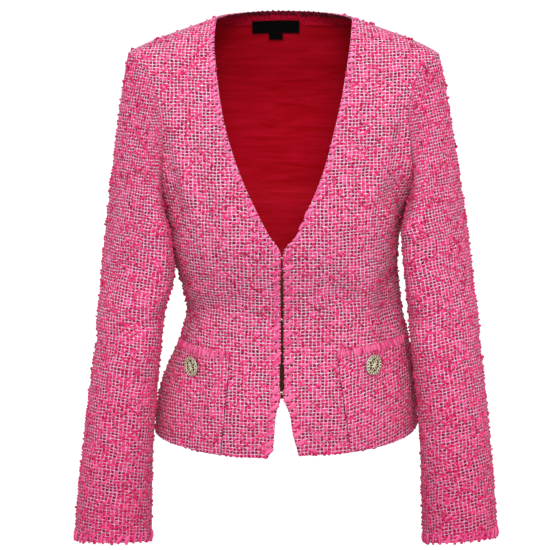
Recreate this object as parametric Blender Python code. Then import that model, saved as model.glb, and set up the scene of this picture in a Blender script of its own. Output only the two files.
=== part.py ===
"""Cropped collarless tweed jacket, filled out as when worn. Sizes are in millimetres and
turned to metres as each mesh is made. The origin lies between the two neck points of the
shoulder seams. +X is the viewer's right, -Y the front, +Z up."""

import math
from collections import namedtuple

import bmesh
import bpy
import numpy as np

TO_METRES = 0.001

# Driving dimensions
CLOTH = 2.4  # tweed with its backing
SEAM_GAP = 0.4
LAID_GAP = 0.3
NECK_HALF = 82.5
SHOULDER_HALF = 192.0
SHOULDER_Z = -43.0
BACK_NECK_RISE = 0.5
UNDERARM_Z = -238.0
V_FOOT_Z = -270.0
ARMHOLE_FRONT = 58.0  # how far the armhole's edge reaches forward of the seam
ARMHOLE_BACK = 54.0
SHOULDER_ROUNDING = 60.0  # height over which the chest rolls back to the shoulder seam
UNDERARM_LAP = 60.0  # height over which the sleeve's edge turns to lie beside the body

# Columns of a front to its pocket's inner side, over the pocket, and on to the side seam
COLUMNS_TO_POCKET = 5
POCKET_COLUMNS = 7
COLUMNS_PAST_POCKET = 2
# Rows of a front below its pocket, over the pocket, up to the V and up to the underarm
ROWS_UNDER_POCKET = 1
POCKET_ROWS = 6
ROWS_POCKET_TO_V = 6
ROWS_V_TO_UNDERARM = 2
BACK_COLUMNS = 13
NECK_COLUMNS = 7
BACK_ROWS_TO_UNDERARM = 11
ROWS_ARMHOLE = 12
NECK_EVENNESS = 0.6  # of the rows' ends at the neck and the back's middle; 0 bunches them
SLEEVE_CAP_RINGS = 8
SLEEVE_ARM_RINGS = 15

# Half widths to the viewer's left and right, depths to the front and back, and how square
# the front and back quarters are (2 is an ellipse) at each height.
BodyRing = namedtuple("BodyRing", "z left right front back front_square back_square")
BODY = (
    BodyRing(-526, 161, 167, 124, 108, 2.1, 2.1),
    BodyRing(-486, 158, 165, 119, 104, 2.1, 2.1),
    BodyRing(-456, 153, 163, 114, 99, 2.1, 2.1),
    BodyRing(-421, 140, 159, 107, 92, 2.1, 2.1),
    BodyRing(-391, 127, 153, 101, 85, 2.15, 2.15),
    BodyRing(-356, 120, 145, 98, 80, 2.15, 2.2),
    BodyRing(-326, 125, 141.5, 104, 84, 2.2, 2.25),
    BodyRing(-296, 135, 139, 114, 89, 2.25, 2.3),
    BodyRing(-268, 141, 141, 120, 93, 2.3, 2.4),
    BodyRing(-251, 143, 146, 121, 95, 2.3, 2.4),
    BodyRing(UNDERARM_Z, 147, 150, 120, 97, 2.3, 2.4),
    BodyRing(-216, 155, 158, 117, 100, 2.2, 2.3),
    BodyRing(-186, 172, 174, 111, 101, 2.05, 2.2),
    BodyRing(-156, 192, 191, 102, 101, 1.9, 2.0),
    BodyRing(-126, 206, 204, 94, 100, 1.8, 1.9),
    BodyRing(-96, 212, 210, 83, 97, 1.75, 1.8),
    BodyRing(-75, 212, 210, 72, 92, 1.75, 1.75),
    BodyRing(-60, 206, 205, 66, 88, 1.7, 1.7),
    BodyRing(SHOULDER_Z, SHOULDER_HALF, SHOULDER_HALF, 60, 84, 1.7, 1.7),
    BodyRing(-28, 159, 159, 58, 81, 1.7, 1.7),
    BodyRing(-9, 107.5, 107.5, 57, 78, 1.7, 1.8),
    BodyRing(0, NECK_HALF, NECK_HALF, 56, 76, 1.7, 1.9),
)

# Heights of the hem at the middle front and at the side seam, and at the middle back.
Hem = namedtuple("Hem", "front side")
HEM = {"left": Hem(-518, -507), "right": Hem(-515, -496)}
BACK_HEM_Z = -498.0
HEM_CURVE = 0.7  # the lower, the nearer to the side seam a hem keeps its middle height

# Distance of each front's edge from the middle: the vent, the closed stretch and the V neck.
FrontEdge = namedtuple("FrontEdge", "z left right")
FRONT_EDGE = (
    FrontEdge(-517, 20, 21),
    FrontEdge(-506, 13, 18),
    FrontEdge(-488, 11, 13),
    FrontEdge(-468, 9, 10),
    FrontEdge(-458, 6, 6.5),
    FrontEdge(-450, 1, 1.5),
    FrontEdge(-442, 0.2, 0.2),
    FrontEdge(-421, 0.8, 0.9),
    FrontEdge(-386, 0.3, 0.3),
    FrontEdge(V_FOOT_Z, 0.3, 0.3),
    FrontEdge(-246, 18, 12),
    FrontEdge(-216, 35, 27),
    FrontEdge(-186, 49, 43),
    FrontEdge(-156, 61, 55),
    FrontEdge(-126, 70, 65),
    FrontEdge(-86, 79, 76),
    FrontEdge(-51, 83, 81),
    FrontEdge(-21, 84, 83),
    FrontEdge(0, NECK_HALF, NECK_HALF),
)

# Soft folds: the ends of each trough or ridge on a panel, given as distance from the middle
# and height, with its width and how far it stands out (less than nothing for a trough).
Fold = namedtuple("Fold", "panel x0 z0 x1 z1 width rise")
FOLDS = (
    Fold("front_left", 150, -116, 128, -221, 13, -3.5),
    Fold("front_left", 132, -126, 112, -206, 14, 2.5),
    Fold("front_left", 60, -336, 116, -358, 14, -2.5),
    Fold("front_left", 40, -436, 60, -506, 18, 2.5),
    Fold("front_left", 100, -436, 118, -511, 16, -3.0),
    Fold("front_right", 146, -111, 128, -211, 13, -3.5),
    Fold("front_right", 128, -121, 110, -201, 14, 2.5),
    Fold("front_right", 70, -324, 130, -348, 15, -3.5),
    Fold("front_right", 126, -316, 128, -426, 13, -6.0),
    Fold("front_right", 98, -296, 100, -336, 18, 4.5),
    Fold("front_right", 52, -436, 70, -506, 18, 2.5),
    Fold("back_left", 146, -116, 120, -221, 14, -3.0),
    Fold("back_left", 40, -351, 112, -362, 13, -3.0),
    Fold("back_left", 30, -324, 100, -318, 14, 2.5),
    Fold("back_left", 70, -416, 92, -496, 18, 3.5),
    Fold("back_right", 144, -114, 118, -216, 14, -3.0),
    Fold("back_right", 48, -356, 126, -344, 13, -3.0),
    Fold("back_right", 24, -332, 108, -312, 14, 2.5),
    Fold("back_right", 62, -411, 84, -494, 18, 3.5),
)
FOLD_CALM = 30.0  # folds fade out this near to a side or shoulder seam

# Sleeve sections, from the underarm to the cuff: the inner and outer reach sideways, the
# middle's place from front to back, the half depth, and how far the section is turned and
# tipped, in degrees.
ArmRing = namedtuple("ArmRing", "z inner outer middle depth turn tip")
ARM = {
    "left": (
        ArmRing(-252, 136, 219.5, -22, 62.5, 18, 2),
        ArmRing(-304, 131.5, 224.5, -24, 58.5, 14, 3),
        ArmRing(-356, 143.5, 229, -29, 54.5, 10, 5),
        ArmRing(-406, 149.5, 232.5, -37, 52.5, 8, 7),
        ArmRing(-466, 154.5, 239.5, -47, 50.5, 5, 9),
        ArmRing(-526, 159, 246, -57, 49.5, 3, 10),
        ArmRing(-586, 160.5, 251.5, -67, 49.5, 0, 10),
        ArmRing(-633, 160.5, 255, -75, 49.5, 0, 10),
    ),
    "right": (
        ArmRing(-252, 141.5, 224, -22, 62.5, 18, 2),
        ArmRing(-304, 146.5, 231, -24, 58.5, 14, 3),
        ArmRing(-356, 151.5, 238, -29, 54.5, 10, 5),
        ArmRing(-406, 156.5, 242.5, -37, 52.5, 8, 7),
        ArmRing(-466, 163, 249, -47, 50.5, 5, 9),
        ArmRing(-526, 168, 254.5, -57, 49.5, 3, 10),
        ArmRing(-586, 170, 259.5, -67, 49.5, 0, 10),
        ArmRing(-629, 172, 262.5, -74, 49.5, 0, 10),
    ),
}
CAP_FULLNESS = 2.5
CAP_LENGTH = 150.0  # a cap at least this long from armhole to underarm level is as full
CAP_SPREAD = 18.0  # how strongly the cap sets out square to the armhole's edge
SLEEVE_CLEAR = 1.4
EDGE_STEP = 0.004  # share of the armhole's edge over which its direction is read

# Creases of the sleeves: where round the arm (0 is the inner side, 90 the front, 180 the
# outer side), the heights of the two ends, the width and the rise.
Crease = namedtuple("Crease", "sleeve angle0 z0 angle1 z1 width rise")
CREASES = (
    Crease("left", 60, -268, 150, -306, 13, -2.5),
    Crease("left", 30, -358, 120, -378, 12, -3.0),
    Crease("left", 100, -404, 190, -392, 13, -2.0),
    Crease("left", 20, -446, 80, -431, 12, -2.5),
    Crease("left", 200, -336, 320, -358, 13, -3.0),
    Crease("left", 230, -401, 330, -386, 12, -2.5),
    Crease("right", 60, -262, 140, -302, 13, -2.5),
    Crease("right", 30, -351, 110, -374, 12, -3.0),
    Crease("right", 90, -408, 180, -390, 13, -2.0),
    Crease("right", 20, -458, 75, -436, 12, -2.5),
    Crease("right", 205, -332, 315, -352, 13, -3.0),
    Crease("right", 235, -406, 330, -394, 12, -2.5),
)
ARM_ROUND_PER_DEGREE = 0.8

# Patch pockets: the heights of top and foot, the inner side's distance from the middle at
# both, and the turn round the body, in degrees, at which the outer side lies. The foot is
# stated at the middle front, and follows the hem's curve from there.
Pocket = namedtuple("Pocket", "top foot top_out foot_out outer_turn")
POCKETS = {
    "left": Pocket(-395, -511, 63, 73, 77),
    "right": Pocket(-390, -508, 68.5, 82, 71),
}
POCKET_CLOTH = 2.2

# Buttons: one on each pocket, by distance from the middle and height. The turned profile
# runs from the shank round the rope rim to the dished plate.
Button = namedtuple("Button", "side out z")
BUTTONS = (Button("left", 107.5, -419), Button("right", 109, -415))
ButtonRing = namedtuple("ButtonRing", "radius height")
BUTTON = (
    ButtonRing(0, 0), ButtonRing(3.0, 0), ButtonRing(3.0, 1.2), ButtonRing(11.4, 1.5),
    ButtonRing(12.2, 1.8), ButtonRing(12.5, 2.8), ButtonRing(12.2, 3.8), ButtonRing(11.2, 4.3),
    ButtonRing(10.2, 3.9), ButtonRing(9.6, 3.0), ButtonRing(6.5, 3.2), ButtonRing(4.5, 3.9),
    ButtonRing(0, 4.2),
)
BUTTON_SIDES = 28

LINING_CLOTH = 1.0
LINING_GAP = 0.6
LINING_TUCK = 1.0  # how much deeper the lining's side and neck edges lie
LINING_SHORT_AT_NECK = 0.2  # share of a row of the back's grid
LINING_SHORT_AT_SIDE = 0.3  # share of a column

# Woven tapes sewn to the lining under the back neck: width, height and top.
Tape = namedtuple("Tape", "name width height top columns rows")
TAPES = (
    Tape("neck_label", 58.0, 16.0, -10.0, 8, 3),
    Tape("size_tab", 17.0, 8.0, -26.4, 3, 2),
)
TAPE_MIDDLE = -10.0
TAPE_CLOTH = 0.7
TAPE_GAP = 1.3

WIRE_RADIUS = 0.6
HOOK_GAP = 0.6
HOOK_HEIGHTS = (-275.0, -354.0, -441.0)
HOOK_SPAN = 3.0  # the fronts are felt this far above and below a hook
HOOK_REACH = 9.0  # and this far out from the middle

SHARP_ANGLE = 50.0
TWEED = (0.62, 0.13, 0.25)
BRASS = (0.62, 0.52, 0.30)
SATIN = (0.31, 0.01, 0.02)
BLACK_TAPE = (0.01, 0.01, 0.012)


def clear_scene():
    for old in list(bpy.data.objects):
        bpy.data.objects.remove(old, do_unlink=True)


def material(name, colour, roughness, metallic=0.0):
    made = bpy.data.materials.new(name)
    made.use_nodes = True
    shader = made.node_tree.nodes["Principled BSDF"]
    shader.inputs["Base Color"].default_value = (*colour, 1.0)
    shader.inputs["Roughness"].default_value = roughness
    shader.inputs["Metallic"].default_value = metallic
    return made


def smooth_at(table, column, at):
    """A column of a table, read at one height by a smooth curve through its rows."""
    rows = sorted(table)
    keys = [row[0] for row in rows]
    values = [getattr(row, column) for row in rows]
    at = min(max(at, keys[0]), keys[-1])
    i = min(max(int(np.searchsorted(keys, at)) - 1, 0), len(keys) - 2)

    def rise(k):
        return (values[k + 1] - values[k]) / (keys[k + 1] - keys[k])

    def slope(k):
        if k in (0, len(keys) - 1):
            return rise(i)
        if rise(k - 1) * rise(k) <= 0:
            return 0.0
        return 2 * rise(k - 1) * rise(k) / (rise(k - 1) + rise(k))

    span = keys[i + 1] - keys[i]
    t = (at - keys[i]) / span
    start = values[i] * (2 * t**3 - 3 * t**2 + 1) + span * slope(i) * (t**3 - 2 * t**2 + t)
    return start + values[i + 1] * (3 * t**2 - 2 * t**3) + span * slope(i + 1) * (t**3 - t**2)


def ease(t):
    t = min(max(t, 0.0), 1.0)
    return t * t * (3 - 2 * t)


def trough(away, run, width):
    """How strongly a fold along run acts at a place that lies away from its start."""
    along = float(away @ run / (run @ run))
    near = away - min(max(along, 0.0), 1.0) * run
    return math.exp(-float(near @ near) / width**2)


class Panel:
    """One quarter of the body's surface: left or right, front or back. A place on it is its
    distance out from the middle, and its height."""

    def __init__(self, face, side):
        self.name = face + "_" + side
        self.face, self.side = face, side
        self.across = -1 if side == "left" else 1
        self.ahead = -1 if face == "front" else 1
        self.folds = [fold for fold in FOLDS if fold.panel == self.name]

    def half_width(self, z):
        return smooth_at(BODY, self.side, z)

    def square(self, z):
        return smooth_at(BODY, self.face + "_square", z)

    def depth(self, z):
        depth = smooth_at(BODY, self.face, z)
        if self.face == "back" or z < -SHOULDER_ROUNDING:
            return depth
        return depth * math.sqrt(max(1 - (1 + z / SHOULDER_ROUNDING) ** 2, 1e-6))

    def out_at_turn(self, turn, z):
        """Distance out at a turn round the body: 0 degrees at the middle, 90 at the side."""
        return self.half_width(z) * math.sin(math.radians(turn)) ** (2 / self.square(z))

    def turn_at_out(self, out, z):
        share = min(out / self.half_width(z), 1.0) ** (self.square(z) / 2)
        return math.degrees(math.asin(share))

    def reach(self, out, z):
        """How far the surface lies in front of or behind the side seam."""
        square = self.square(z)
        share = min(out / self.half_width(z), 1.0) ** square
        return self.depth(z) * (1 - share) ** (1 / square)

    def out_at_reach(self, reach, z):
        square = self.square(z)
        share = min(reach / self.depth(z), 1.0) ** square
        return self.half_width(z) * (1 - share) ** (1 / square)

    def level(self, out, reach, z):
        """1 on the surface, less inside it and more outside."""
        square = self.square(z)
        return (out / self.half_width(z)) ** square + (reach / self.depth(z)) ** square

    def normal(self, out, z):
        step = 0.5
        reach = self.reach(out, z)
        square = self.square(z)
        up = (self.level(out, reach, z + step) - self.level(out, reach, z - step)) / (2 * step)
        found = np.array([
            self.across * square * out ** (square - 1) / self.half_width(z) ** square,
            self.ahead * square * reach ** (square - 1) / self.depth(z) ** square,
            up,
        ])
        return found / np.linalg.norm(found)

    def fold_rise(self, out, z):
        rise = 0.0
        for fold in self.folds:
            run = np.array([fold.x1 - fold.x0, fold.z1 - fold.z0])
            rise += fold.rise * trough(np.array([out - fold.x0, z - fold.z0]), run, fold.width)
        return rise * ease(self.reach(out, z) / FOLD_CALM)

    def point(self, out, z, lift=0.0):
        """A point of the surface with its folds, moved out along its normal by lift."""
        base = np.array([self.across * out, self.ahead * (self.reach(out, z) + SEAM_GAP / 2), z])
        return base + self.normal(out, z) * (self.fold_rise(out, z) + lift)

    def grid(self, places, lift):
        return np.array([[self.point(out, z, lift) for out, z in row] for row in places])

    def hem(self, turn):
        middle = HEM[self.side].front if self.face == "front" else BACK_HEM_Z
        side = HEM[self.side].side
        return side + (middle - side) * math.cos(math.radians(min(turn, 90.0))) ** HEM_CURVE

    def armhole_place(self, share):
        """A place on the armhole's edge, from the underarm to the shoulder point."""
        angle = math.pi * share
        z = (UNDERARM_Z + SHOULDER_Z) / 2 - (SHOULDER_Z - UNDERARM_Z) / 2 * math.cos(angle)
        widest = ARMHOLE_FRONT if self.face == "front" else ARMHOLE_BACK
        return self.out_at_reach(widest * max(math.sin(angle), 0.0), z), z

    def shoulder_place(self, share):
        z = SHOULDER_Z * share
        return self.half_width(z), z


def bowed(share):
    return (1 - math.cos(math.pi * share)) / 2


def neck_climb(share):
    """How far up its edge a row ends at the neck, of the rows that share out the armhole."""
    return NECK_EVENNESS * share + (1 - NECK_EVENNESS) * bowed(share)


def steps(marks, counts):
    """Evenly spaced values from each mark to the next, with a count of steps for each."""
    found = [marks[0]]
    for start, end, count in zip(marks, marks[1:], counts):
        found += [start + (end - start) * i / count for i in range(1, count + 1)]
    return found


def front_turns(panel, z):
    """The turns of a front's columns, with one on each side of its pocket."""
    pocket = POCKETS[panel.side]
    edge = panel.turn_at_out(smooth_at(FRONT_EDGE, panel.side, z), z)
    down = min(max((z - pocket.top) / (pocket.foot - pocket.top), 0.0), 1.0)
    out = pocket.top_out + (pocket.foot_out - pocket.top_out) * down
    inner = panel.turn_at_out(out, min(z, pocket.top))
    counts = (COLUMNS_TO_POCKET, POCKET_COLUMNS, COLUMNS_PAST_POCKET)
    return steps((edge, max(inner, edge), pocket.outer_turn, 90.0), counts)


def front_places(panel):
    """Rows of places over a front, hem first, each from the front edge to the side."""
    rows = []
    pocket, lowest = POCKETS[panel.side], HEM[panel.side].front
    heights = steps(
        (lowest, pocket.foot, pocket.top, V_FOOT_Z, UNDERARM_Z),
        (ROWS_UNDER_POCKET, POCKET_ROWS, ROWS_POCKET_TO_V, ROWS_V_TO_UNDERARM),
    )
    for z in heights:
        down = max((z - pocket.top) / (lowest - pocket.top), 0.0)
        row = []
        for turn in front_turns(panel, z):
            place = z + down * (panel.hem(turn) - lowest)
            row.append((panel.out_at_turn(turn, place), place))
        rows.append(row)

    edge, *_, side = turns = front_turns(panel, UNDERARM_Z)
    evenly = np.linspace(0, 1, len(turns))
    for i in range(1, ROWS_ARMHOLE + 1):
        share = i / ROWS_ARMHOLE
        z = UNDERARM_Z * (1 - neck_climb(share))
        first = np.array([panel.turn_at_out(smooth_at(FRONT_EDGE, panel.side, z), z), z])
        out, z = panel.armhole_place(share)
        last = np.array([panel.turn_at_out(out, z), z])
        row = []
        for part, even in zip((np.array(turns) - edge) / (side - edge), evenly):
            turn, z = first + (last - first) * (part + (even - part) * share)
            row.append((panel.out_at_turn(turn, z), z))
        rows.append(row)
    return rows


def back_places(panel):
    """Rows of places over half of the back, hem first, each from the middle to the side."""
    rows = []
    shares = np.linspace(0, 1, BACK_COLUMNS + 1)
    for down in np.linspace(1, 0, BACK_ROWS_TO_UNDERARM):
        row = []
        for turn in 90 * shares:
            z = UNDERARM_Z + down * (panel.hem(turn) - UNDERARM_Z)
            row.append((panel.out_at_turn(turn, z), z))
        rows.append(row)
    top = []
    for column in range(NECK_COLUMNS):
        out = NECK_HALF * math.sin(math.pi / 2 * column / NECK_COLUMNS)
        top.append((out, BACK_NECK_RISE * (1 - (out / NECK_HALF) ** 2)))
    for column in range(BACK_COLUMNS - NECK_COLUMNS + 1):
        top.append(panel.shoulder_place(column / (BACK_COLUMNS - NECK_COLUMNS)))

    under, top = np.array(rows[-1]), np.array(top)
    for i in range(1, ROWS_ARMHOLE + 1):
        share = i / ROWS_ARMHOLE
        climb, armhole_climb = neck_climb(share), bowed(share)
        edge = panel.armhole_place(share) - (under[-1] + (top[-1] - under[-1]) * armhole_climb)
        row = []
        for column in range(BACK_COLUMNS + 1):
            part = column / BACK_COLUMNS
            up = climb + (armhole_climb - climb) * part
            place = under[column] + (top[column] - under[column]) * up + edge * part**2
            row.append(tuple(place))
        rows.append(row)
    return rows


def back_grid(lift):
    """A grid over the whole back, from the viewer's left side seam to the right one."""
    halves = (Panel("back", "left"), Panel("back", "right"))
    left, right = (panel.grid(back_places(panel), lift) for panel in halves)
    middle = (left[:, :1] + right[:, :1]) / 2
    return np.concatenate([left[:, :0:-1], middle, right[:, 1:]], axis=1)


def mesh_object(name, points, faces, made_of):
    mesh = bpy.data.meshes.new(name)
    mesh.from_pydata([tuple(map(float, point * TO_METRES)) for point in points], [], faces)
    work = bmesh.new()
    work.from_mesh(mesh)
    bmesh.ops.recalc_face_normals(work, faces=work.faces)
    if work.calc_volume(signed=True) < 0:
        bmesh.ops.reverse_faces(work, faces=work.faces)
    work.to_mesh(mesh)
    work.free()
    mesh.shade_smooth()
    mesh.set_sharp_from_angle(angle=math.radians(SHARP_ANGLE))
    mesh.materials.append(made_of)
    bpy.context.collection.objects.link(bpy.data.objects.new(name, mesh))


def wall(name, outer, inner, made_of, ring=False):
    """One closed wall between an outer and an inner grid of points. A ring's rows join up.
    Both faces are cut along the same diagonals, so walls that lie together stay parallel."""
    rows, columns = outer.shape[:2]
    half = rows * columns
    pairs = [(j, (j + 1) % columns) for j in range(columns if ring else columns - 1)]
    faces = []
    for i in range(rows - 1):
        for j, k in pairs:
            a, b = i * columns + j, i * columns + k
            c, d = b + columns, a + columns
            faces += [(a, b, c), (a, c, d), (half + a, half + c, half + b), (half + a, half + d, half + c)]
    rims = [(j, k) for j, k in pairs] + [(half - columns + k, half - columns + j) for j, k in pairs]
    if not ring:
        for i in range(rows - 1):
            low, high = i * columns, (i + 1) * columns
            rims += [(high, low), (low + columns - 1, high + columns - 1)]
    for a, b in rims:
        faces += [(a, half + a, half + b), (a, half + b, b)]
    mesh_object(name, np.concatenate([outer.reshape(-1, 3), inner.reshape(-1, 3)]), faces, made_of)


def make_front(side, made_of):
    panel = Panel("front", side)
    places = front_places(panel)
    wall(panel.name, panel.grid(places, 0), panel.grid(places, -CLOTH), made_of)


def make_pocket(side, made_of):
    """A patch made from the front's own points that it covers, moved out."""
    panel = Panel("front", side)
    first = COLUMNS_TO_POCKET
    rows = front_places(panel)[ROWS_UNDER_POCKET:ROWS_UNDER_POCKET + POCKET_ROWS + 1]
    places = [row[first:first + POCKET_COLUMNS + 1] for row in rows]
    outer = panel.grid(places, LAID_GAP + POCKET_CLOTH)
    wall("pocket_" + side, outer, panel.grid(places, LAID_GAP), made_of)


def make_back(made_of):
    wall("back", back_grid(0), back_grid(-CLOTH), made_of)


def lining_grid(lift):
    """The back's own grid, drawn in from its sides, its armholes, its neck and its hem."""
    grid, deeper = back_grid(lift)[1:], back_grid(lift - LINING_TUCK)[1:]
    for edge, beside in ((0, 1), (-1, -2)):
        grid[:, edge] = deeper[:, edge]
        grid[:, edge] += (deeper[:, beside] - deeper[:, edge]) * LINING_SHORT_AT_SIDE
    grid[-1] = deeper[-1] + (deeper[-2] - deeper[-1]) * LINING_SHORT_AT_NECK
    return grid


def make_back_lining(made_of):
    near = -CLOTH - LINING_GAP
    wall("back_lining", lining_grid(near), lining_grid(near - LINING_CLOTH), made_of)


# A point of the armhole's edge: the cloth's outward normal there, the way on past the edge,
# and how much the sleeve laps beside the body instead of butting against the edge.
EdgePoint = namedtuple("EdgePoint", "point normal onward lap")


def armhole_edge(side):
    """The armhole's edge from the underarm up the front, over the shoulder, down the back."""
    edge = []
    front, back = Panel("front", side), Panel("back", side)
    way = [(front, i) for i in range(ROWS_ARMHOLE + 1)]
    way += [(back, i) for i in range(ROWS_ARMHOLE - 1, 0, -1)]
    for panel, i in way:
        share = i / ROWS_ARMHOLE
        place = panel.armhole_place(share)
        point = panel.point(*place)
        if 0 < i < ROWS_ARMHOLE:
            run = panel.point(*panel.armhole_place(share + EDGE_STEP))
            run = (run - panel.point(*panel.armhole_place(share - EDGE_STEP))) * -panel.ahead
        else:
            run = np.array([0.0, 1.0 if i else -1.0, 0.0])
            point[1] = 0.0
        normal = panel.normal(*place)
        onward = np.cross(run, normal) * panel.across
        lap = ease((UNDERARM_Z + UNDERARM_LAP - place[1]) / UNDERARM_LAP)
        edge.append(EdgePoint(point, normal, onward / np.linalg.norm(onward), lap))
    return edge


def sleeve_start(side):
    """The outer and inner points of the sleeve's first ring. It butts against the armhole's
    edge, and turns at the underarm to lie beside the body."""
    outer, inner = [], []
    for edge in armhole_edge(side):
        turn = math.pi * edge.lap
        gap = edge.onward * math.cos(turn / 2) + edge.normal * math.sin(turn / 2)
        through = edge.onward * math.sin(turn) - edge.normal * math.cos(turn)
        outer.append(edge.point + SEAM_GAP * gap)
        inner.append(outer[-1] + CLOTH * through)
    return np.array(outer), np.array(inner)


def arm_ring(side, z):
    """A section of the sleeve, from its inner side round by the front."""
    value = ArmRing(z, *(smooth_at(ARM[side], name, z) for name in ArmRing._fields[1:]))
    turn, tip = math.radians(value.turn), math.radians(value.tip)
    half = (value.outer - value.inner) / 2
    narrow = math.sqrt(half**2 - (value.depth * math.sin(turn)) ** 2) / math.cos(turn)
    count = 2 * ROWS_ARMHOLE
    ring = []
    for k in range(count):
        angle = 2 * math.pi * k / count
        out, ahead = -narrow * math.cos(angle), value.depth * math.sin(angle)
        turned = out * math.cos(turn) - ahead * math.sin(turn)
        ahead = ahead * math.cos(turn) - out * math.sin(turn)
        across = value.inner + half + turned
        ring.append((across, value.middle - ahead * math.cos(tip), z + ahead * math.sin(tip)))
    return np.array(ring) * (-1 if side == "left" else 1, 1, 1)


def clear_of_body(side, point):
    """The point, moved out sideways where it would lie in the body or too near to it."""
    x, y, z = point
    panel = Panel("front" if y < 0 else "back", side)
    if abs(y) < panel.depth(z):
        out = panel.out_at_reach(abs(y), z)
        out += SLEEVE_CLEAR + max(panel.fold_rise(out, z), 0.0)
        near = ease((UNDERARM_Z + UNDERARM_LAP - z) / UNDERARM_LAP)
        x += panel.across * max(out - abs(x), 0.0) * near
    return x, y, z


def sleeve_rings(side):
    start, _ = sleeve_start(side)
    onward = np.array([edge.onward * (1 - edge.lap) for edge in armhole_edge(side)])
    first = arm_ring(side, ARM[side][0].z)
    length = np.linalg.norm(first - start, axis=1)[:, None]
    away = (start + first) / 2
    away = away - away.mean(axis=0)
    away[:, 2] = 0
    away /= np.linalg.norm(away, axis=1)[:, None]
    rings = []
    for share in np.linspace(0, 1, SLEEVE_CAP_RINGS + 1)[1:-1]:
        full = CAP_FULLNESS * math.sin(math.pi * share) * np.clip(length / CAP_LENGTH, 0, 1)
        spread = CAP_SPREAD * share * (1 - share) ** 2
        rings.append(start + (first - start) * share + away * full + onward * spread)
    for z in np.linspace(ARM[side][0].z, ARM[side][-1].z, SLEEVE_ARM_RINGS + 1):
        rings.append(arm_ring(side, float(z)))
    return np.array([start] + [[clear_of_body(side, point) for point in ring] for ring in rings])


def ring_normals(grid, side):
    round_way = np.roll(grid, -1, axis=1) - np.roll(grid, 1, axis=1)
    normals = np.cross(round_way, np.gradient(grid, axis=0))
    normals /= np.linalg.norm(normals, axis=2)[:, :, None]
    return normals * (1 if side == "left" else -1)


def crease_rise(side, angle, z):
    rise = 0.0
    for crease in CREASES:
        if crease.sleeve == side:
            run = np.array([
                (crease.angle1 - crease.angle0) * ARM_ROUND_PER_DEGREE,
                crease.z1 - crease.z0,
            ])
            away = np.array([(angle - crease.angle0) * ARM_ROUND_PER_DEGREE, z - crease.z0])
            rise += crease.rise * trough(away, run, crease.width)
    return rise


def make_sleeve(side, made_of):
    outer = sleeve_rings(side)
    normals = ring_normals(outer, side)
    count = outer.shape[1]
    for i in range(SLEEVE_CAP_RINGS, len(outer)):
        for k in range(count):
            rise = crease_rise(side, 360.0 * k / count, outer[i, k, 2])
            outer[i, k] += normals[i, k] * rise
    inner = outer - ring_normals(outer, side) * CLOTH
    inner[0] = sleeve_start(side)[1]
    wall("sleeve_" + side, outer, inner, made_of, ring=True)


def make_button(button, made_of):
    """A turned button: a rope rim round a dished plate, on a short shank."""
    panel = Panel("front", button.side)
    seat = panel.point(button.out, button.z, LAID_GAP + POCKET_CLOTH + LAID_GAP)
    normal = panel.normal(button.out, button.z)
    across = np.cross([0.0, 0.0, 1.0], normal)
    across /= np.linalg.norm(across)
    up = np.cross(normal, across)
    points, rings = [], []
    for radius, height in BUTTON:
        ring = []
        for k in range(BUTTON_SIDES if radius else 1):
            angle = 2 * math.pi * k / BUTTON_SIDES
            spoke = across * math.cos(angle) + up * math.sin(angle)
            ring.append(len(points))
            points.append(seat + normal * height + radius * spoke)
        rings.append(ring)
    faces = []
    for near, far in zip(rings, rings[1:]):
        for k in range(BUTTON_SIDES):
            corners = (
                near[k % len(near)], near[(k + 1) % len(near)],
                far[(k + 1) % len(far)], far[k % len(far)],
            )
            faces.append(tuple(dict.fromkeys(corners)))
    mesh_object("button_" + button.side, np.array(points), faces, made_of)


def make_tape(tape, made_of):
    """A woven tape that lies on the lining at the back neck."""
    near = -CLOTH - LINING_GAP - LINING_CLOTH - TAPE_GAP
    panel = Panel("back", "right")

    def grid(lift):
        rows = []
        for z in np.linspace(tape.top, tape.top - tape.height, tape.rows + 1):
            row = []
            for along in np.linspace(-tape.width / 2, tape.width / 2, tape.columns + 1):
                x = TAPE_MIDDLE + along
                _, y, height = panel.point(abs(x), float(z), lift)
                row.append((x, y, height))
            rows.append(row)
        return np.array(rows)

    wall(tape.name, grid(near - TAPE_CLOTH), grid(near), made_of)


def wire(name, route, made_of):
    curve = bpy.data.curves.new(name, "CURVE")
    curve.dimensions = "3D"
    curve.bevel_depth = WIRE_RADIUS * TO_METRES
    curve.bevel_resolution = 1
    curve.use_fill_caps = True
    spline = curve.splines.new("POLY")
    spline.points.add(len(route) - 1)
    for place, point in zip(spline.points, route):
        place.co = (*(np.array(point) * TO_METRES), 1.0)
    curve.materials.append(made_of)
    bpy.context.collection.objects.link(bpy.data.objects.new(name, curve))


def make_hook_and_eye(number, z, made_of):
    """A hook sewn inside the viewer's left front, and the eye that it holds on the right."""
    fronts = (Panel("front", "left"), Panel("front", "right"))
    inside = max(
        front.point(out, height, -CLOTH)[1]
        for front in fronts for out in (1.0, HOOK_REACH) for height in (z - HOOK_SPAN, z + HOOK_SPAN)
    )
    sewn = inside + HOOK_GAP + WIRE_RADIUS
    held = sewn + 2 * WIRE_RADIUS + LAID_GAP
    back = held + 2 * WIRE_RADIUS + LAID_GAP
    hook = (
        (-HOOK_REACH, sewn, z + 1.1), (-1.0, sewn, z + 1.1), (0.9, sewn, z + 0.7), (1.6, sewn + 0.2, z),
        (2.0, held, z), (1.4, back - 0.2, z), (0.2, back, z), (-3.0, back, z),
    )
    half_eye = (
        (9.5, sewn, 2.4), (7.0, sewn + 0.2, 2.4), (5.0, held, 2.2), (1.0, held, 1.8),
        (-0.4, held, 0.9),
    )
    eye = [(x, y, z + up) for x, y, up in half_eye]
    eye += [(x, y, z - up) for x, y, up in reversed(half_eye)]
    wire(f"hook_{number}", hook, made_of)
    wire(f"eye_{number}", eye, made_of)


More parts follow.
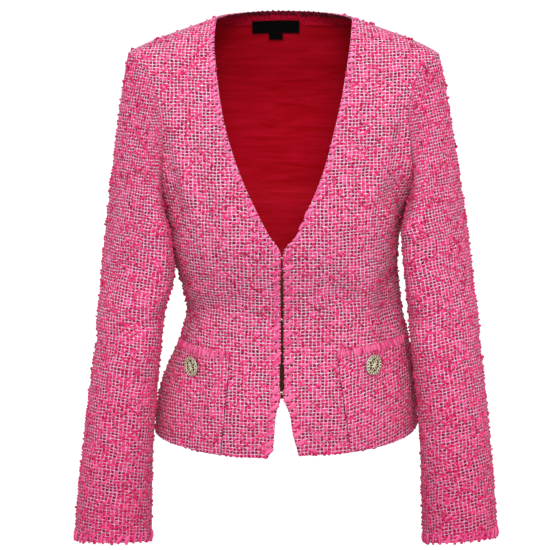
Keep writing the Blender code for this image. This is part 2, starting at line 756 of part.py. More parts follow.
clear_scene()
for each_side in ("left", "right"):
    make_front(each_side, material("tweed_front_" + each_side, TWEED, 0.9))
    make_pocket(each_side, material("tweed_pocket_" + each_side, TWEED, 0.9))
    make_sleeve(each_side, material("tweed_sleeve_" + each_side, TWEED, 0.9))
make_back(material("tweed_back", TWEED, 0.9))
make_back_lining(material("satin_lining", SATIN, 0.35))
for each_button in BUTTONS:
    make_button(each_button, material("brass_" + each_button.side, BRASS, 0.35, 1.0))
for each_tape in TAPES:
    make_tape(each_tape, material("tape_" + each_tape.name, BLACK_TAPE, 0.6))
for each_number, each_height in enumerate(HOOK_HEIGHTS, 1):
    make_hook_and_eye(each_number, each_height, material(f"wire_{each_number}", BRASS, 0.4, 1.0))
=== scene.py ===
import math
from functools import partial

import bmesh
import bpy
import numpy as np
from mathutils import Matrix, Vector


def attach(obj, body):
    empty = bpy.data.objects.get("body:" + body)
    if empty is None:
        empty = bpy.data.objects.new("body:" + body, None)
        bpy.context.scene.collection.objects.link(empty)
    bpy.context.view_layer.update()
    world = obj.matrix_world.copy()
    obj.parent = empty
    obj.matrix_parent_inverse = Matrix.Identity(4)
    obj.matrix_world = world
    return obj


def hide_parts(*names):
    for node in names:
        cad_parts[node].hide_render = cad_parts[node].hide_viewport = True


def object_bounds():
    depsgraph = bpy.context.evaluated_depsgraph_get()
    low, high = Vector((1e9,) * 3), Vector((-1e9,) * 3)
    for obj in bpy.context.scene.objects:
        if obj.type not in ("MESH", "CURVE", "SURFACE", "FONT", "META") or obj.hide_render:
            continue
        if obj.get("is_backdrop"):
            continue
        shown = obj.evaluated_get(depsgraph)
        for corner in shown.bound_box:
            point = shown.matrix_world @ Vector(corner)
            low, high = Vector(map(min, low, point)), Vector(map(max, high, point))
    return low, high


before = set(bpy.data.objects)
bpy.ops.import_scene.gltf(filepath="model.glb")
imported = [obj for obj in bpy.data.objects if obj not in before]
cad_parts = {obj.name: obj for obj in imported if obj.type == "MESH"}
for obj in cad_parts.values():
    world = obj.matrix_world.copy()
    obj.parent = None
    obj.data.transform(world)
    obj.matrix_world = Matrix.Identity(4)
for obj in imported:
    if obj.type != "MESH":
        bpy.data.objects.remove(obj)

cad_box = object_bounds()


# The cloth: an open plain weave of pale boucle and hot pink yarns, about four millimetres from
# thread to thread, so loose that the holes between its threads show deep red. It is woven of a
# wool and cotton mix, and every outer panel of the jacket is cut from it.

MM = 0.001
WARP_PITCH = 4.6  # mm from thread to thread across the cloth
WEFT_PITCH = 3.95  # mm from thread to thread along it


def srgb(text):
    """An sRGB hex colour as a linear colour."""
    parts = [int(text[i:i + 2], 16) / 255 for i in (1, 3, 5)]
    return (*(c / 12.92 if c <= 0.04045 else ((c + 0.055) / 1.055) ** 2.4 for c in parts), 1.0)


def add_node(tree, kind, inputs=(), **settings):
    """Adds a node with its settings, and links or sets each of the inputs that are named. A node
    given for an input stands for its first output in use."""
    node = tree.nodes.new(kind)
    for name, value in settings.items():
        setattr(node, name, value)
    for key, value in dict(inputs).items():
        if isinstance(value, bpy.types.Node):
            value = next(output for output in value.outputs if output.enabled)
        if isinstance(value, bpy.types.NodeSocket):
            tree.links.new(value, node.inputs[key])
        else:
            node.inputs[key].default_value = value
    return node


def new_material(name):
    """An empty material, and the function that adds nodes to it."""
    made = bpy.data.materials.new(name)
    made.use_nodes = True
    made.node_tree.nodes.clear()
    return made, partial(add_node, made.node_tree)


def woven_tweed(name, filled_share, slubby=0.0, high_shade="#FFFCFF", low_shade="#EECDDD"):
    """Open plain weave of boucle yarns: matt, nubbly, and dark in the holes between threads, a
    colour partly painted as their shade. Where the boucle loops, hot pink slubs fill a share of the
    holes. Painted shade makes it a little darker towards the hem and the cuffs, as if less light
    reached low down."""
    made, add = new_material(name)
    cloth_mm = place = add("ShaderNodeUVMap", uv_map="cloth_mm")

    # No thread lies straight: it sways by up to two millimetres, and kinks by half of one.
    for scale, detail, swing in ((0.035, 2.0, 4.5), (0.19, 1.0, 1.0)):
        stray = add("ShaderNodeTexNoise", {"Vector": cloth_mm, "Scale": scale, "Detail": detail},
                    noise_dimensions="2D")
        stray = add("ShaderNodeVectorMath", {0: stray.outputs["Color"], 1: (0.5, 0.5, 0.5)},
                    operation="SUBTRACT")
        stray = add("ShaderNodeVectorMath", {0: stray, "Scale": swing}, operation="SCALE")
        place = add("ShaderNodeVectorMath", {0: place, 1: stray})

    # The crossing of threads nearest to each place, and how far from it the place lies.
    cell = add("ShaderNodeVectorMath", {0: place, 1: (WARP_PITCH, WEFT_PITCH, 1.0)},
               operation="DIVIDE")
    cross = add("ShaderNodeVectorMath", {0: cell, 1: (0.5, 0.5, 0.5)})
    cross = add("ShaderNodeVectorMath", {0: cross}, operation="FLOOR")
    away = add("ShaderNodeVectorMath", {0: cell, 1: cross}, operation="SUBTRACT")
    away = add("ShaderNodeVectorMath", {0: away}, operation="ABSOLUTE")
    cell_xy, cross_xy, away_xy = (
        add("ShaderNodeSeparateXYZ", {0: vector}).outputs for vector in (cell, cross, away))

    # The warp, then the weft. Along its length each thread turns from thin pale yarn to thick hot
    # pink boucle and back. Its section is round: one on its middle line, nothing at its side and
    # beyond. Over one and under one, its swing is opposite to that of its neighbours.
    threads = []
    for k, apart, thin, thick, swing in ((0, 7.3, 0.575, 0.67, 0.35), (1, 9.7, 0.59, 0.68, -0.35)):
        stretch = add("ShaderNodeMath", {0: cell_xy[1 - k], 1: 0.66}, operation="MULTIPLY")
        spread = add("ShaderNodeMath", {0: cross_xy[k], 1: apart}, operation="MULTIPLY")
        along = add("ShaderNodeCombineXYZ", {k: spread, 1 - k: stretch})
        slub = add("ShaderNodeTexNoise", {"Vector": along, "Scale": 1.0, "Detail": 1.0},
                   noise_dimensions="2D")
        slub = add("ShaderNodeMapRange", {0: slub, 1: thin - slubby, 2: thick - slubby})
        half = add("ShaderNodeMapRange", {0: slub, 3: 0.13, 4: 0.34})
        section = add("ShaderNodeMath", {0: away_xy[k], 1: half}, operation="DIVIDE")
        section = add("ShaderNodeMath", {0: section, 1: 2.0}, operation="POWER")
        section = add("ShaderNodeMath", {0: 1.0, 1: section}, operation="SUBTRACT")
        turn = add("ShaderNodeMath", {0: cell_xy[1 - k], 1: cross_xy[k]})
        turn = add("ShaderNodeMath", {0: turn, 1: math.pi}, operation="MULTIPLY")
        up = add("ShaderNodeMath", {0: turn}, operation="COSINE")
        high = add("ShaderNodeMath", {0: up, 1: swing, 2: section}, operation="MULTIPLY_ADD")
        from_hole = add("ShaderNodeMath", {0: 0.5, 1: away_xy[k]}, operation="SUBTRACT")
        from_hole = add("ShaderNodeMath", {0: from_hole, 1: 2.0}, operation="POWER")
        threads.append((slub, section, up, high, from_hole))
    slub_of, section_of, up_of, high_of, from_hole = zip(*threads)
    on_top = add("ShaderNodeMath", {0: high_of[0], 1: high_of[1]}, operation="SUBTRACT")
    on_top = add("ShaderNodeMapRange", {0: on_top, 1: -0.15, 2: 0.15})
    highest = add("ShaderNodeMath", {0: high_of[0], 1: high_of[1]}, operation="MAXIMUM")
    thread = add("ShaderNodeMath", {0: section_of[0], 1: section_of[1]}, operation="MAXIMUM")
    thread = add("ShaderNodeMapRange", {0: thread, 1: -0.3, 2: 0.3})

    # Between the threads lies a hole, or a round slub of the boucle that fills it.
    hole_of = add("ShaderNodeVectorMath", {0: cell}, operation="FLOOR")
    fleck = add("ShaderNodeTexWhiteNoise", {"Vector": hole_of}, noise_dimensions="2D")
    filled = add("ShaderNodeMath", {0: fleck, 1: filled_share}, operation="LESS_THAN")
    slub = add("ShaderNodeMath", {0: from_hole[0], 1: from_hole[1]})
    slub = add("ShaderNodeMath", {0: slub, 1: -3.8, 2: 1.6}, operation="MULTIPLY_ADD")
    slub = add("ShaderNodeMath", {0: slub, 1: filled}, operation="MULTIPLY")
    over = add("ShaderNodeMath", {0: slub, 1: highest}, operation="SUBTRACT")
    over = add("ShaderNodeMapRange", {0: over, 1: -0.1, 2: 0.2})
    over = add("ShaderNodeMath", {0: over, 1: filled}, operation="MULTIPLY")
    height = add("ShaderNodeMath", {0: highest, 1: slub}, operation="MAXIMUM")

    # Yarn colours: the thin yarn is pale, and painted whiter where the weft lies on top, as a
    # highlight; the boucle is hot pink; and the lining's and backing's red shows in the holes,
    # painted darker as the shade down in them.
    white = add("ShaderNodeMapRange", {0: up_of[1], 1: 0.0, 2: -0.8})
    deep = add("ShaderNodeMath", {0: fleck, 1: 1.6}, operation="POWER")
    tint = add("ShaderNodeMath", {0: fleck, 1: filled_share}, operation="DIVIDE")
    # Painted shade: by height, the colour is multiplied darker towards the hem and the cuffs.
    low = add("ShaderNodeTexCoord")
    low = add("ShaderNodeSeparateXYZ", {0: low.outputs["Object"]})
    low = add("ShaderNodeMapRange", {0: low.outputs[2], 1: -0.62, 2: -0.34})
    warp_pale, weft_pale, hot, hole, blob, height_shade = (
        add("ShaderNodeMix", {0: share, 6: srgb(first), 7: srgb(last)}, data_type="RGBA")
        for share, first, last in (
            (fleck, "#FCDCF0", "#F4A4CE"), (white, "#F8C6E2", "#FFFDFF"),
            (fleck, "#DC1C5E", "#F64C8A"), (deep, "#6C002E", "#BE0C4C"),
            (tint, "#D41E64", "#F65698"), (low, low_shade, high_shade)))
    warp, weft = (
        add("ShaderNodeMix", {0: share, 6: pale, 7: hot}, data_type="RGBA")
        for share, pale in zip(slub_of, (warp_pale, weft_pale)))
    yarn = add("ShaderNodeMix", {0: on_top, 6: weft, 7: warp}, data_type="RGBA")
    colour = add("ShaderNodeMix", {0: thread, 6: hole, 7: yarn}, data_type="RGBA")
    colour = add("ShaderNodeMix", {0: over, 6: colour, 7: blob}, data_type="RGBA")
    colour = add("ShaderNodeMix", {0: 1.0, 6: colour, 7: height_shade}, data_type="RGBA",
                 blend_type="MULTIPLY")

    hair = add("ShaderNodeTexNoise", {"Vector": place, "Scale": 1.6, "Detail": 2.0},
               noise_dimensions="2D")
    height = add("ShaderNodeMath", {0: hair, 1: 0.5, 2: height}, operation="MULTIPLY_ADD")
    bump = add("ShaderNodeBump", {"Height": height, "Strength": 0.85, "Distance": 0.0008})
    shader = add("ShaderNodeBsdfPrincipled", {
        "Base Color": colour, "Roughness": 0.92, "Normal": bump,
        "Specular IOR Level": 0.1, "Sheen Weight": 0.04, "Sheen Roughness": 0.4})
    add("ShaderNodeOutputMaterial", {0: shader})
    return made


def crinkled_satin():
    """Acetate satin, woven face out: a smooth sheen over fine crinkles that run across it."""
    made, add = new_material("acetate_satin_woven_red")
    place = add("ShaderNodeTexCoord")
    across = add("ShaderNodeMapping", {0: place.outputs["Object"], "Scale": (18.0, 18.0, 160.0)})
    crinkle = add("ShaderNodeTexNoise", {"Vector": across, "Scale": 1.0, "Detail": 4.0,
                                         "Roughness": 0.6, "Distortion": 0.6})
    shade = add("ShaderNodeMapRange", {0: crinkle, 1: 0.3, 2: 0.7})
    colour = add("ShaderNodeMix", {0: shade, 6: srgb("#AE000C"), 7: srgb("#CC0A2A")},
                 data_type="RGBA")
    # Painted shade: it is a little darker up under the neck band and towards the armholes, where
    # less light reaches.
    near = add("ShaderNodeVectorMath", {0: place.outputs["Object"], 1: (0.01, 0.07, -0.19)},
               operation="DISTANCE")
    near = add("ShaderNodeMapRange", {0: near, 1: 0.05, 2: 0.2, 3: 1.06, 4: 0.66})
    near = add("ShaderNodeCombineColor", {0: near, 1: near, 2: near})
    colour = add("ShaderNodeMix", {0: 1.0, 6: colour, 7: near}, data_type="RGBA",
                 blend_type="MULTIPLY")
    # Painted shade: inside the closed body, below the V, it is painted a dark brown, for cloth that
    # little light reaches.
    height = add("ShaderNodeSeparateXYZ", {0: place.outputs["Object"]})
    height = add("ShaderNodeMapRange", {0: height.outputs[2], 1: -0.335, 2: -0.295})
    colour = add("ShaderNodeMix", {0: height, 6: srgb("#5C3A26"), 7: colour}, data_type="RGBA")
    bump = add("ShaderNodeBump", {"Height": crinkle, "Strength": 0.25, "Distance": 0.0015})
    shader = add("ShaderNodeBsdfPrincipled", {
        "Base Color": colour, "Roughness": 0.55, "Normal": bump, "Specular IOR Level": 0.06})
    add("ShaderNodeOutputMaterial", {0: shader})
    return made


def overlocked_turning():
    """The tweed's raw edge, turned in and overlocked with close crimson threads, their colour
    painted darker as the shade inside the back neck.
    """
    made, add = new_material("overlocked_tweed_turning_painted_shade")
    place = add("ShaderNodeUVMap", uv_map="cloth_mm")
    stroke = add("ShaderNodeMapping", {"Vector": place, "Rotation": (0.0, 0.0, 0.5),
                                       "Scale": (0.75, 0.22, 1.0)})
    stroke = add("ShaderNodeTexNoise", {"Vector": stroke, "Scale": 1.0, "Detail": 3.0},
                 noise_dimensions="2D")
    shade = add("ShaderNodeMapRange", {0: stroke, 1: 0.38, 2: 0.62})
    colour = add("ShaderNodeMix", {0: shade, 6: srgb("#8E0014"), 7: srgb("#C40C34")},
                 data_type="RGBA")
    bump = add("ShaderNodeBump", {"Height": stroke, "Strength": 0.7, "Distance": 0.001})
    shader = add("ShaderNodeBsdfPrincipled", {
        "Base Color": colour, "Roughness": 0.85, "Normal": bump, "Specular IOR Level": 0.1})
    add("ShaderNodeOutputMaterial", {0: shader})
    return made


tweed = woven_tweed("boucle_tweed_open_plain_weave", 0.42)
slubby_tweed = woven_tweed("boucle_tweed_open_plain_weave_slubby", 0.37, slubby=0.045,
                           high_shade="#FFF3FC", low_shade="#E8C0D3")
patch_tweed = woven_tweed("boucle_tweed_open_plain_weave_patch", 0.46, slubby=0.015,
                          high_shade="#FFFBFF", low_shade="#EBCEDC")
satin = crinkled_satin()
overlocked_shaded = overlocked_turning()


# Boucle slubs: where the hot pink yarn loops up it stands proud of the weave as soft nubs a few
# millimetres long, and here and there as a loose loop. They fill holes of the weave over every
# panel of the jacket.

SLUB_SHARE = 0.19  # of the holes between the threads
SLEEVE_SLUB_SHARE = 0.27
LOOP_SHARE = 0.04
ALONG_WARP_SHARE = 0.45  # of the slubs
RUBBED_TILT = 0.55  # cosine of the angle from the rubbed way, within which no loop stands
HOLE_MIDDLE = 0.5  # of the way from one thread to the next


def boucle_yarn(name, dark, light):
    """Loosely spun wool boucle, dyed in the hank: matt and hairy, with a soft edge of light."""
    made, add = new_material(name)
    place = add("ShaderNodeTexCoord")
    tint = add("ShaderNodeAttribute", attribute_name="tint")
    strand = add("ShaderNodeTexNoise", {
        "Vector": place.outputs["Object"], "Scale": 900.0, "Detail": 2.0})
    mixed = add("ShaderNodeMath", {0: strand, 1: 0.5, 2: -0.25}, operation="MULTIPLY_ADD")
    mixed = add("ShaderNodeMath", {0: mixed, 1: tint.outputs["Fac"]}, use_clamp=True)
    colour = add("ShaderNodeMix", {0: mixed, 6: srgb(dark), 7: srgb(light)}, data_type="RGBA")
    bump = add("ShaderNodeBump", {"Height": strand, "Strength": 0.5, "Distance": 0.0004})
    shader = add("ShaderNodeBsdfPrincipled", {
        "Base Color": colour, "Roughness": 0.9, "Normal": bump,
        "Specular IOR Level": 0.15, "Sheen Weight": 0.08, "Sheen Roughness": 0.4})
    add("ShaderNodeOutputMaterial", {0: shader})
    return made


def laying_tree(name, inputs, shape):
    """A node tree that lays a shape on every point, scaled by the points' attribute size, and
    gives each a tint of its own. The function shape adds the nodes of what is laid."""
    tree = bpy.data.node_groups.new(name, "GeometryNodeTree")
    inputs = {"Points": "Geometry", **inputs, "Radius": "Float", "Seed": "Int",
              "Finish": "Material"}
    for key, kind in inputs.items():
        tree.interface.new_socket(key, in_out="INPUT", socket_type="NodeSocket" + kind)
    tree.interface.new_socket("Laid", in_out="OUTPUT", socket_type="NodeSocketGeometry")
    add = partial(add_node, tree)
    given = add("NodeGroupInput").outputs
    size = add("GeometryNodeInputNamedAttribute", {"Name": "size"}, data_type="FLOAT")
    laid = add("GeometryNodeInstanceOnPoints", {
        "Points": given["Points"], "Scale": size, **shape(add, given)})
    tint = add("FunctionNodeRandomValue", {"Seed": given["Seed"]}, data_type="FLOAT")
    laid = add("GeometryNodeStoreNamedAttribute", {
        "Geometry": laid, "Name": "tint", "Value": tint}, data_type="FLOAT", domain="INSTANCE")
    laid = add("GeometryNodeRealizeInstances", {"Geometry": laid})
    laid = add("GeometryNodeSetShadeSmooth", {"Geometry": laid})
    laid = add("GeometryNodeSetMaterial", {"Geometry": laid, "Material": given["Finish"]})
    add("NodeGroupOutput", {"Laid": laid})
    return tree


def bowed_yarn(add, given):
    """A short bowed length of yarn, thinner towards its ends, turned by the points' attributes
    normal and way."""
    start, end = (add("ShaderNodeMath", {0: given["Length"], 1: half}, operation="MULTIPLY")
                  for half in (-0.5, 0.5))
    line = add("GeometryNodeCurveQuadraticBezier", {
        "Resolution": given["Steps"],
        "Start": add("ShaderNodeCombineXYZ", {0: start}),
        "Middle": add("ShaderNodeCombineXYZ", {2: given["Bow"]}),
        "End": add("ShaderNodeCombineXYZ", {0: end})})
    along = add("GeometryNodeSplineParameter")
    thin = add("ShaderNodeMath", {0: along.outputs["Factor"], 1: -0.5})
    thin = add("ShaderNodeMath", {0: thin, 1: 2.0}, operation="MULTIPLY")
    thin = add("ShaderNodeMath", {0: thin, 1: 2.0}, operation="POWER")
    thin = add("ShaderNodeMath", {0: thin, 1: given["Taper"]}, operation="MULTIPLY")
    scale = add("ShaderNodeMath", {0: 1.0, 1: thin}, operation="SUBTRACT")
    section = add("GeometryNodeCurvePrimitiveCircle", {
        "Resolution": given["Sides"], "Radius": given["Radius"]})
    tube = add("GeometryNodeCurveToMesh", {
        "Curve": line, "Profile Curve": section, "Scale": scale, "Fill Caps": True})
    normal, way = (add("GeometryNodeInputNamedAttribute", {"Name": key}, data_type="FLOAT_VECTOR")
                   for key in ("normal", "way"))
    turned = add("FunctionNodeAxesToRotation", {0: normal, 1: way},
                 primary_axis="Z", secondary_axis="X")
    return {"Instance": tube, "Rotation": turned}


def round_bead(add, given):
    """A small round bead or knot."""
    ball = add("GeometryNodeMeshIcoSphere", {"Radius": given["Radius"], "Subdivisions": 2})
    return {"Instance": ball}


short_yarns = laying_tree("short_yarns", {"Length": "Float", "Bow": "Float", "Taper": "Float",
                                          "Sides": "Int", "Steps": "Int"}, bowed_yarn)
beads = laying_tree("beads", {}, round_bead)


def in_scene(name, data):
    """A new object of the scene, which stands at the origin."""
    made = bpy.data.objects.new(name, data)
    bpy.context.collection.objects.link(made)
    return made


def grown(name, tree, points, vectors, sizes, **values):
    """What a tree lays on points in mm, as a plain mesh. The values name the tree's inputs, with
    its sizes in mm."""
    mesh = bpy.data.meshes.new(name + "_points")
    mesh.from_pydata((points * MM).tolist(), [], [])
    for key, found in vectors.items():
        mesh.attributes.new(key, "FLOAT_VECTOR", "POINT").data.foreach_set(
            "vector", found.astype(np.float32).ravel())
    mesh.attributes.new("size", "FLOAT", "POINT").data.foreach_set(
        "value", sizes.astype(np.float32))
    piece = in_scene(name, mesh)
    modifier = piece.modifiers.new(tree.name, "NODES")
    modifier.node_group = tree
    for socket in tree.interface.items_tree:
        if socket.in_out == "INPUT" and socket.name in values:
            value = values[socket.name]
            if socket.name in ("Length", "Radius", "Bow"):
                value *= MM
            modifier[socket.identifier] = value
    ready = piece.evaluated_get(bpy.context.evaluated_depsgraph_get())
    plain = bpy.data.meshes.new_from_object(ready)
    piece.modifiers.clear()
    piece.data = plain
    plain.name = name
    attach(piece, "root")
    return piece


def unit(vectors):
    return vectors / (np.linalg.norm(vectors, axis=-1, keepdims=True) + 1e-12)


def weave_holes(grid, normals, flat, share, seed, margin=2):
    """Random holes of the weave on a grid: their points, cloth normals, and the ways of the weft
    and the warp there."""
    chance = np.random.default_rng(seed)
    inner = (slice(margin, -margin or None), slice(1, -1))
    p, q = grid[:-1, :-1], grid[1:, 1:]
    areas = np.linalg.norm(np.cross(q - p, grid[1:, :-1] - grid[:-1, 1:]), axis=2) / 2
    kept = np.zeros_like(areas)
    kept[inner] = areas[inner]
    count = int(kept.sum() / (WARP_PITCH * WEFT_PITCH) * share)
    i, j = np.divmod(chance.choice(kept.size, count, p=kept.ravel() / kept.sum()), kept.shape[1])
    s, t = chance.random((2, count))
    here = (flat[i, j] * ((1 - s) * (1 - t))[:, None] + flat[i, j + 1] * (s * (1 - t))[:, None]
            + flat[i + 1, j] * ((1 - s) * t)[:, None] + flat[i + 1, j + 1] * (s * t)[:, None])
    pitch = np.array([WARP_PITCH, WEFT_PITCH])
    miss = (np.floor(here / pitch) + HOLE_MIDDLE) * pitch - here
    du, dv = flat[i, j + 1] - flat[i, j], flat[i + 1, j] - flat[i, j]
    whole = du[:, 0] * dv[:, 1] - du[:, 1] * dv[:, 0]
    s = s + np.clip((miss[:, 0] * dv[:, 1] - miss[:, 1] * dv[:, 0]) / whole, -1, 1)
    t = t + np.clip((miss[:, 1] * du[:, 0] - miss[:, 0] * du[:, 1]) / whole, -1, 1)
    weft, warp = grid[i, j + 1] - grid[i, j], grid[i + 1, j] - grid[i, j]
    bend = grid[i + 1, j + 1] - grid[i + 1, j] - weft
    points = grid[i, j] + weft * s[:, None] + warp * t[:, None] + bend * (s * t)[:, None]
    return points, normals[i, j], unit(weft), unit(warp), chance


def slubs(name, grid, normals, flat, seed, share=SLUB_SHARE, rubbed=(0.0, 0.0, 0.0)):
    """The slubs on a panel, and its loose loops, which stand up two or three millimetres but are
    rubbed flat on the side that faces the way given."""
    points, cloth, weft, warp, chance = weave_holes(grid, normals, flat, share, seed)
    upright = chance.random(len(points)) < ALONG_WARP_SHARE
    slant = chance.normal(0, 0.25, len(points))[:, None]
    ways = np.where(upright[:, None], warp + weft * slant, weft + warp * slant)
    lying = grown(name + "_slubs", short_yarns, points - cloth * 0.2,
                  {"normal": cloth, "way": ways}, chance.uniform(0.7, 1.15, len(points)),
                  Length=4.3, Radius=1.75, Bow=0.9, Taper=0.75, Sides=6, Steps=3, Seed=seed,
                  Finish=slub_yarn)
    points, cloth, weft, warp, chance = weave_holes(grid, normals, flat, LOOP_SHARE, seed + 1,
                                                    margin=0)
    left_up = cloth @ np.array(rubbed) < RUBBED_TILT
    points, cloth, weft, warp = (found[left_up] for found in (points, cloth, weft, warp))
    ways = weft + warp * chance.normal(0, 0.8, len(points))[:, None]
    standing = grown(name + "_loops", short_yarns, points,
                     {"normal": cloth, "way": ways}, chance.uniform(0.5, 1.2, len(points)),
                     Length=3.8, Radius=1.2, Bow=3.5, Taper=0.3, Sides=5, Steps=5, Seed=seed + 1,
                     Finish=slub_yarn)
    return [lying, standing]


def smooth_normals(grid, ring=False):
    if ring:
        across = np.roll(grid, -1, axis=1) - np.roll(grid, 1, axis=1)
    else:
        across = np.gradient(grid, axis=1)
    return unit(np.cross(across, np.gradient(grid, axis=0)))


def outward_normals(grid, ahead):
    """Cloth normals of a grid, on the side that ahead points to."""
    found = smooth_normals(grid)
    towards = (found * ahead)[len(grid) // 3].sum()
    return found if towards > 0 else -found


slub_yarn = boucle_yarn("wool_boucle_slub_hot_pink", "#B80E48", "#F6508C")


# Whip stitches: thick hot pink yarn oversewn along the neck and the front edges, round the
# cuffs and over the pocket tops, each stitch two or three strands wide.

stitch_yarn = boucle_yarn("wool_yarn_spun_bright_pink", "#E2407E", "#FC7EB2")
pale_yarn = boucle_yarn("wool_yarn_spun_light_pink", "#EC5496", "#FF96C8")
cuff_yarn = boucle_yarn("wool_yarn_spun_deep_pink", "#D22870", "#FA68A6")
# A copy of the yarn painted dark crimson as shade, for stitches in the shadow inside the back neck
# and down the pockets' inner sides.
shaded_yarn = boucle_yarn("wool_yarn_spun_crimson_painted_shade", "#2C0210", "#74082A")


def run_of(line):
    """How far along a line of points each of them lies."""
    return np.concatenate([[0], np.cumsum(np.linalg.norm(np.diff(line, axis=0), axis=1))])


def spaced(line, step, spread, chance):
    """Evenly spaced places along a line of points, each moved at random by a share of a point's
    number, as fractions of its points' numbers."""
    run = run_of(line)
    count = max(int(run[-1] / step), 1)
    at = np.interp((np.arange(count) + 0.5) * run[-1] / count, run, np.arange(len(line)))
    return np.clip(at + chance.normal(0, spread, count), 0, len(line) - 1.001)


def along_line(line, at):
    low = np.clip(at.astype(int), 0, len(line) - 2)
    part = (at - low)[:, None]
    return line[low] * (1 - part) + line[low + 1] * part


def whip(name, line, normals, inward, step, length, slope, seed, strands=3, width=1.4, overhang=0.0,
         radius=1.15, lift=0.4, scatter=6.0, yarn=stitch_yarn, up=(0.0, 0.0, 1.0)):
    """Stitches over an edge: a line of points, the cloth's normals and the ways in from it.
    Slope turns each stitch from the way in, in degrees, towards up."""
    chance = np.random.default_rng(seed)
    at = spaced(line, step, 0.05, chance)
    point, normal = along_line(line, at), unit(along_line(normals, at))
    inward = unit(along_line(inward, at))
    inward = unit(inward - normal * (inward * normal).sum(axis=1, keepdims=True))
    beside = np.cross(normal, inward)
    beside *= np.sign((beside * up).sum(axis=1, keepdims=True) + 1e-9)
    turn = np.radians(slope + chance.normal(0, scatter, len(at)))[:, None]
    way = inward * np.cos(turn) + beside * np.sin(turn)
    across = unit(np.cross(normal, way))
    points, ways, sizes = [], [], []
    for k in range(strands):
        jitter = chance.normal(0, 0.35, (len(at), 1))
        points.append(point + way * (length / 2 - overhang + jitter) + normal * lift
                      + across * (k - (strands - 1) / 2) * width)
        ways.append(way + across * chance.normal(0, 0.06, (len(at), 1)))
        sizes.append(chance.uniform(0.88, 1.1, len(at)))
    vectors = {"normal": np.tile(normal, (strands, 1)), "way": np.concatenate(ways)}
    return grown(name, short_yarns, np.concatenate(points), vectors, np.concatenate(sizes),
                 Length=length, Radius=radius, Bow=1.7, Taper=0.5, Sides=6, Steps=6, Seed=seed,
                 Finish=yarn)


# The back: one panel of tweed from the shoulder seams to the hem, worn over the rear of a
# woman's figure. Its surface and the fronts' are quarters of one rounded form, seamed at the
# sides and shoulders, with soft drag folds from the armholes and round the waist.

CLOTH = 2.4  # mm, the tweed with its backing
SEAM_GAP = 0.4
SHOULDER_TURN_Z = -110.0  # over it the cloth is measured up along its own rounding
NECK_HALF = 82.5
SHOULDER_Z = -43.0
BACK_NECK_RISE = 0.5
UNDERARM_Z = -238.0
ARMHOLE_REACH = {"front": 58.0, "back": 54.0}
ARMHOLE_SCOOP = {"front_left": 19.0}  # how much fuller the sleeve pulls it in, low down
SHOULDER_ROUNDING = 60.0
BACK_HEM_Z = -498.0
HEM = {"left": (-518.0, -507.0), "right": (-515.0, -496.0)}  # middle front, side seam
HEM_CURVE = 0.7
FOLD_CALM = 30.0
TURNED_ROWS = 7  # of the grid, turned in at the neck
SHARP_EDGE = math.radians(50)

# Height, half widths left and right, depths front and back, squareness front and back, in mm.
BODY = np.array([
    (-526, 161, 167, 124, 108, 2.1, 2.1), (-486, 158, 165, 119, 104, 2.1, 2.1),
    (-456, 153, 163, 114, 99, 2.1, 2.1), (-421, 140, 159, 107, 92, 2.1, 2.1),
    (-391, 127, 153, 101, 85, 2.15, 2.15), (-356, 120, 145, 98, 80, 2.15, 2.2),
    (-326, 125, 141.5, 104, 84, 2.2, 2.25), (-296, 135, 139, 114, 89, 2.25, 2.3),
    (-268, 141, 141, 120, 93, 2.3, 2.4), (-251, 143, 146, 121, 95, 2.3, 2.4),
    (UNDERARM_Z, 147, 150, 120, 97, 2.3, 2.4), (-216, 155, 158, 117, 100, 2.2, 2.3),
    (-186, 172, 174, 111, 101, 2.05, 2.2), (-156, 192, 191, 102, 101, 1.9, 2.0),
    (-126, 206, 204, 94, 100, 1.8, 1.9), (-96, 212, 210, 83, 97, 1.75, 1.8),
    (-75, 212, 210, 72, 92, 1.75, 1.75), (-60, 206, 205, 66, 88, 1.7, 1.7),
    (SHOULDER_Z, 189, 187, 60, 84, 1.7, 1.7), (-28, 159, 159, 58, 81, 1.7, 1.7),
    (-9, 107.5, 107.5, 57, 78, 1.7, 1.8), (0, NECK_HALF, NECK_HALF, 56, 76, 1.7, 1.9),
])
BODY_COLUMNS = {"left": 1, "right": 2, "front": 3, "back": 4, "front_square": 5, "back_square": 6}

# Folds: the two ends by distance from the middle and height, the width, and the rise.
FOLDS = {
    "back_left": [
        (146, -116, 120, -221, 14, -3.0), (40, -351, 112, -362, 13, -3.0),
        (30, -324, 100, -318, 14, 2.5), (70, -416, 92, -496, 18, 3.5),
        (52, -372, 104, -384, 10, 1.6), (128, -150, 104, -210, 9, 1.6),
    ],
    "back_right": [
        (144, -114, 118, -216, 14, -3.0), (48, -356, 126, -344, 13, -3.0),
        (24, -332, 108, -312, 14, 2.5), (62, -411, 84, -494, 18, 3.5),
        (60, -376, 118, -370, 10, 1.6), (126, -148, 100, -206, 9, 1.6),
    ],
    "front_left": [
        (150, -116, 128, -221, 13, -5.2), (132, -126, 112, -206, 14, 4.2),
        (60, -336, 116, -358, 14, -2.5), (40, -436, 60, -506, 18, 2.5),
        (100, -436, 118, -511, 16, -3.0),
        (112, -150, 94, -218, 9, -3.0), (84, -320, 122, -334, 8, 2.2),
        (96, -366, 118, -384, 8, 1.4),
    ],
    "front_right": [
        (146, -111, 128, -211, 13, -5.2), (128, -121, 110, -201, 14, 4.2),
        (70, -324, 130, -348, 15, -3.5), (126, -316, 128, -426, 13, -6.0),
        (98, -296, 100, -336, 18, 4.5), (52, -436, 70, -506, 18, 2.5),
        (108, -150, 90, -216, 9, -3.0), (90, -352, 116, -372, 9, 2.2),
        (84, -378, 112, -384, 8, -1.2),
        (143, -196, 146, -262, 9, -7.0),
    ],
}


